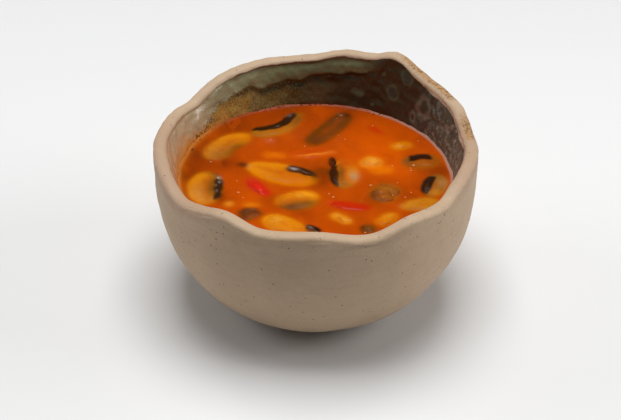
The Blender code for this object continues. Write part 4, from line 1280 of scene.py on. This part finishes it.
# %% Finish of beads and flecks
def small_finish(obj, name, roughness):
    """The bead's or fleck's tone, which for the beads is partly a painted highlight, a little mottled, so
    that no two look quite the same.
    """
    f = Finish(name)
    tone = f.colour("tone")
    tone = f.tint(f.noise(0.6) * 0.25, tone, (0.8, 0.6, 0.5))
    f.done(obj, Base_Color=tone, Roughness=roughness, Specular_IOR_Level=0.2)


small_finish(fat_beads, "bead_of_fat", 0.28)
small_finish(spice_flecks, "fleck_of_spice", 0.45)
print("beads and flecks finished")

# %% [markdown]
# ## The soup
#
# The soup's top is one closed surface made of rings round its middle.  It isn't flat: it climbs
# the wall in a thin curl, clings to each piece that stands out of it, and is drawn a little
# unevenly by the oil on it.

# %% The soup's surface
SOUP_COLUMNS = 600
SOUP_RINGS = 152
SIDE_RINGS = 12
WALL_OVERLAP = 0.8                           # mm that the soup reaches into the wall
CURL = 0.9                                   # mm that the soup climbs the wall, and its reach
CLING = 0.07                                 # mm that it climbs a piece


def soup_surface():
    """Rings from the floor's middle up the side and in over the top: points, tone, and the pale band at
    the wall, partly a thin film and partly a painted highlight.

    The top's height is the level, plus a curl that falls off as exp(-distance to the wall),
    plus a little where the soup clings to a piece, plus slow waves."""
    edge = SOUP_RADIUS / MM + WALL_OVERLAP
    floor = (FLOOR - LEVEL) / MM
    level_angle = belly_angle(EQUATOR - LEVEL, EQUATOR - FLOOR)
    angles = np.linspace(np.pi / 2.0, level_angle, SIDE_RINGS)
    wall_r, wall_z = belly(INNER_RADIUS, EQUATOR - FLOOR, angles)
    side_r = np.minimum(wall_r / MM + 0.3, edge - 0.05)
    side_z = (wall_z - LEVEL) / MM - 1.0
    top_r = edge * (1.0 - np.linspace(0.0, 1.0, SOUP_RINGS) ** 1.25)
    turn = np.linspace(0.0, 2.0 * np.pi, SOUP_COLUMNS, endpoint=False)
    radius = np.concatenate([[0.0], side_r[1:], top_r])[:, None]
    x, y = polar(radius, turn)
    below = np.concatenate([[floor - 0.4], side_z[1:]])[:, None] + 0.0 * turn

    tx, ty = x[len(below):], y[len(below):]
    to_wall = (SOUP_RADIUS / MM - radius[len(below):]).clip(0.0)
    flat = np.stack([tx, ty, 0.0 * tx], axis=-1)
    wander = 1.0 + 0.35 * uneven(flat, 13.0, 41)
    curl = CURL * wander * np.exp(-to_wall / CURL)
    cling = CLING * from_raster(standing, tx, ty)
    waves = 0.06 * uneven(flat, 11.0, 42) + 0.02 * uneven(flat, 4.0, 43)
    top = curl + cling + waves
    z = np.concatenate([below, top])
    share = np.concatenate([0.0 * below, from_raster(soft_share, tx, ty)])
    shade = np.concatenate([np.zeros(below.shape + (3,)), from_raster(soft_shade, tx, ty)])
    deep = broth_colour(x, y)
    azimuth = np.degrees(turn)
    # painted highlight: the pale band where the soup curls up the wall is much stronger from -20 to 80
    # degrees, where the curl catches the light; elsewhere it is a faint thin film
    painted_sheen_arc = around(azimuth, -20, 5, 50, 80)
    film = 1.0 - smoothstep(0.5, 1.3, to_wall + 0.4 * (wander - 1.0))
    film = np.concatenate([0.0 * below, film * (0.12 + 0.68 * painted_sheen_arc)])
    thin = around(azimuth, 130, 150, 205, 228) * np.exp(-to_wall / 1.1)
    deep[len(below):] = blend(deep[len(below):], THIN_BROTH, 0.8 * thin)
    return from_level(x, y, z), blend(deep, shade, share), film


soup_points, soup_tone, soup_film = soup_surface()
soup = skin("soup_body", soup_points, tone=soup_tone, film=soup_film)
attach(soup, "root")
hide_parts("soup")
print("soup:", triangles(soup), "triangles")


# %% Broth finish
def broth():
    """Opaque creamy broth with fine streaks of oil, and a paler band at the wall, partly a thin film and
    partly a painted highlight.
    """
    f = Finish("creamy_broth")
    tone = f.colour("tone")
    oil = f.noise(2.6, 3.0, 0.6).step(0.52, 0.70)
    tone = f.tint(oil * 0.15, tone, (0.86, 0.62, 0.6))
    cream = f.noise(3.4, 4.0, 0.6).step(0.55, 0.80)
    tone = f.mix(cream * 0.10, tone, (0.62, 0.12, 0.002))
    # pale band at the wall: partly a thin film, partly a painted highlight
    tone = f.mix(f.value("film"), tone, (0.360, 0.205, 0.150))
    normal = f.bump((f.noise(4.0, 2.0), 0.03), (f.noise(1.2, 2.0), 0.010))
    shine = 0.16 + f.noise(3.0) * 0.06
    f.done(soup, Base_Color=tone, Roughness=shine, Normal=normal, IOR=1.34,
           Specular_IOR_Level=0.10)


broth()
print("soup finished")

# %% [markdown]
# ## Floor, light and camera
#
# The bowl stands on a plain pale floor under three soft square lamps: a large one almost
# overhead, which gives the lip its even shine, and a weaker one at each side, which opens the
# shadows on the belly and inside the wall.  The world adds only a trace of light.


# %% Floor and light
FLOOR_HALF = 3.0                             # metres from the middle to the floor's side
WORLD_LIGHT = 0.05
# name, azimuth, elevation, distance and width in metres, power in watts
LAMPS = [
    ("lamp_above", 90, 86, 1.1, 0.7, 13.2),
    ("lamp_right", 0, 25, 1.0, 0.6, 4.7),
    ("lamp_left", 168, 25, 1.0, 0.6, 3.2),
]


def aim(obj, eye, target):
    """Put an object at eye so that it looks at target."""
    obj.location = eye
    obj.rotation_euler = (Vector(target) - Vector(eye)).to_track_quat("-Z", "Y").to_euler()


def softbox(name, azimuth, elevation, distance, width, power):
    """A square lamp round the bowl; azimuth 0 is +X and 90 is behind the bowl."""
    lamp = bpy.data.lights.new(name, "AREA")
    lamp.shape = "SQUARE"
    lamp.size = width
    lamp.energy = power
    out, up = polar(1.0, np.radians(elevation))
    centre = Vector((0.0, 0.0, LEVEL))
    eye = centre + distance * Vector((*polar(out, np.radians(azimuth)), up))
    aim(in_scene(name, lamp), eye, centre)


def stage_floor():
    """One large square at the foot's level, which isn't part of the object."""
    mesh = bpy.data.meshes.new("floor")
    half = FLOOR_HALF
    mesh.from_pydata([(-half, -half, 0), (half, -half, 0), (half, half, 0), (-half, half, 0)],
                     [], [(0, 1, 2, 3)])
    floor = in_scene("floor", mesh)
    f = Finish("pale_floor")
    f.done(floor, Base_Color=(0.74, 0.74, 0.74, 1.0), Roughness=0.7)


def studio_world():
    """A dim, slightly cool world, so that no shadow is quite black."""
    world = bpy.data.worlds.new("studio")
    world.use_nodes = True
    background = world.node_tree.nodes["Background"]
    background.inputs["Color"].default_value = (0.95, 0.97, 1.0, 1.0)
    background.inputs["Strength"].default_value = WORLD_LIGHT
    bpy.context.scene.world = world


stage_floor()
studio_world()
for lamp_values in LAMPS:
    softbox(*lamp_values)
print("lamps:", len(LAMPS))

# %% [markdown]
# The camera looks at the bowl from the front and from above, with a long lens, so that the
# belly keeps its true shape.  It is rolled by about a degree, as a hand would hold it.

# %% Camera
CAMERA_DISTANCE = 10.0 * BOWL_RADIUS
CAMERA_ELEVATION = np.radians(35.0)
CAMERA_ROLL = np.radians(1.03)
SENSOR_WIDTH = 36.0                          # mm
LENS = 91.8                                  # mm
LOOK_AT = Vector((-0.029 * BOWL_RADIUS, 0.0, EQUATOR - 0.416 * BOWL_RADIUS))
camera_data = bpy.data.cameras.new("camera")
camera_data.sensor_width = SENSOR_WIDTH
camera_data.lens = LENS
camera = in_scene("camera", camera_data)
back_off = Vector((0.0, -np.cos(CAMERA_ELEVATION), np.sin(CAMERA_ELEVATION)))
aim(camera, LOOK_AT + CAMERA_DISTANCE * back_off, LOOK_AT)
level_view = camera.rotation_euler.to_matrix()
camera.rotation_euler = (level_view @ Matrix.Rotation(CAMERA_ROLL, 3, "Z")).to_euler()
bpy.context.scene.camera = camera
bpy.context.scene.view_settings.view_transform = "Standard"
print("camera at", [round(v, 3) for v in camera.location])
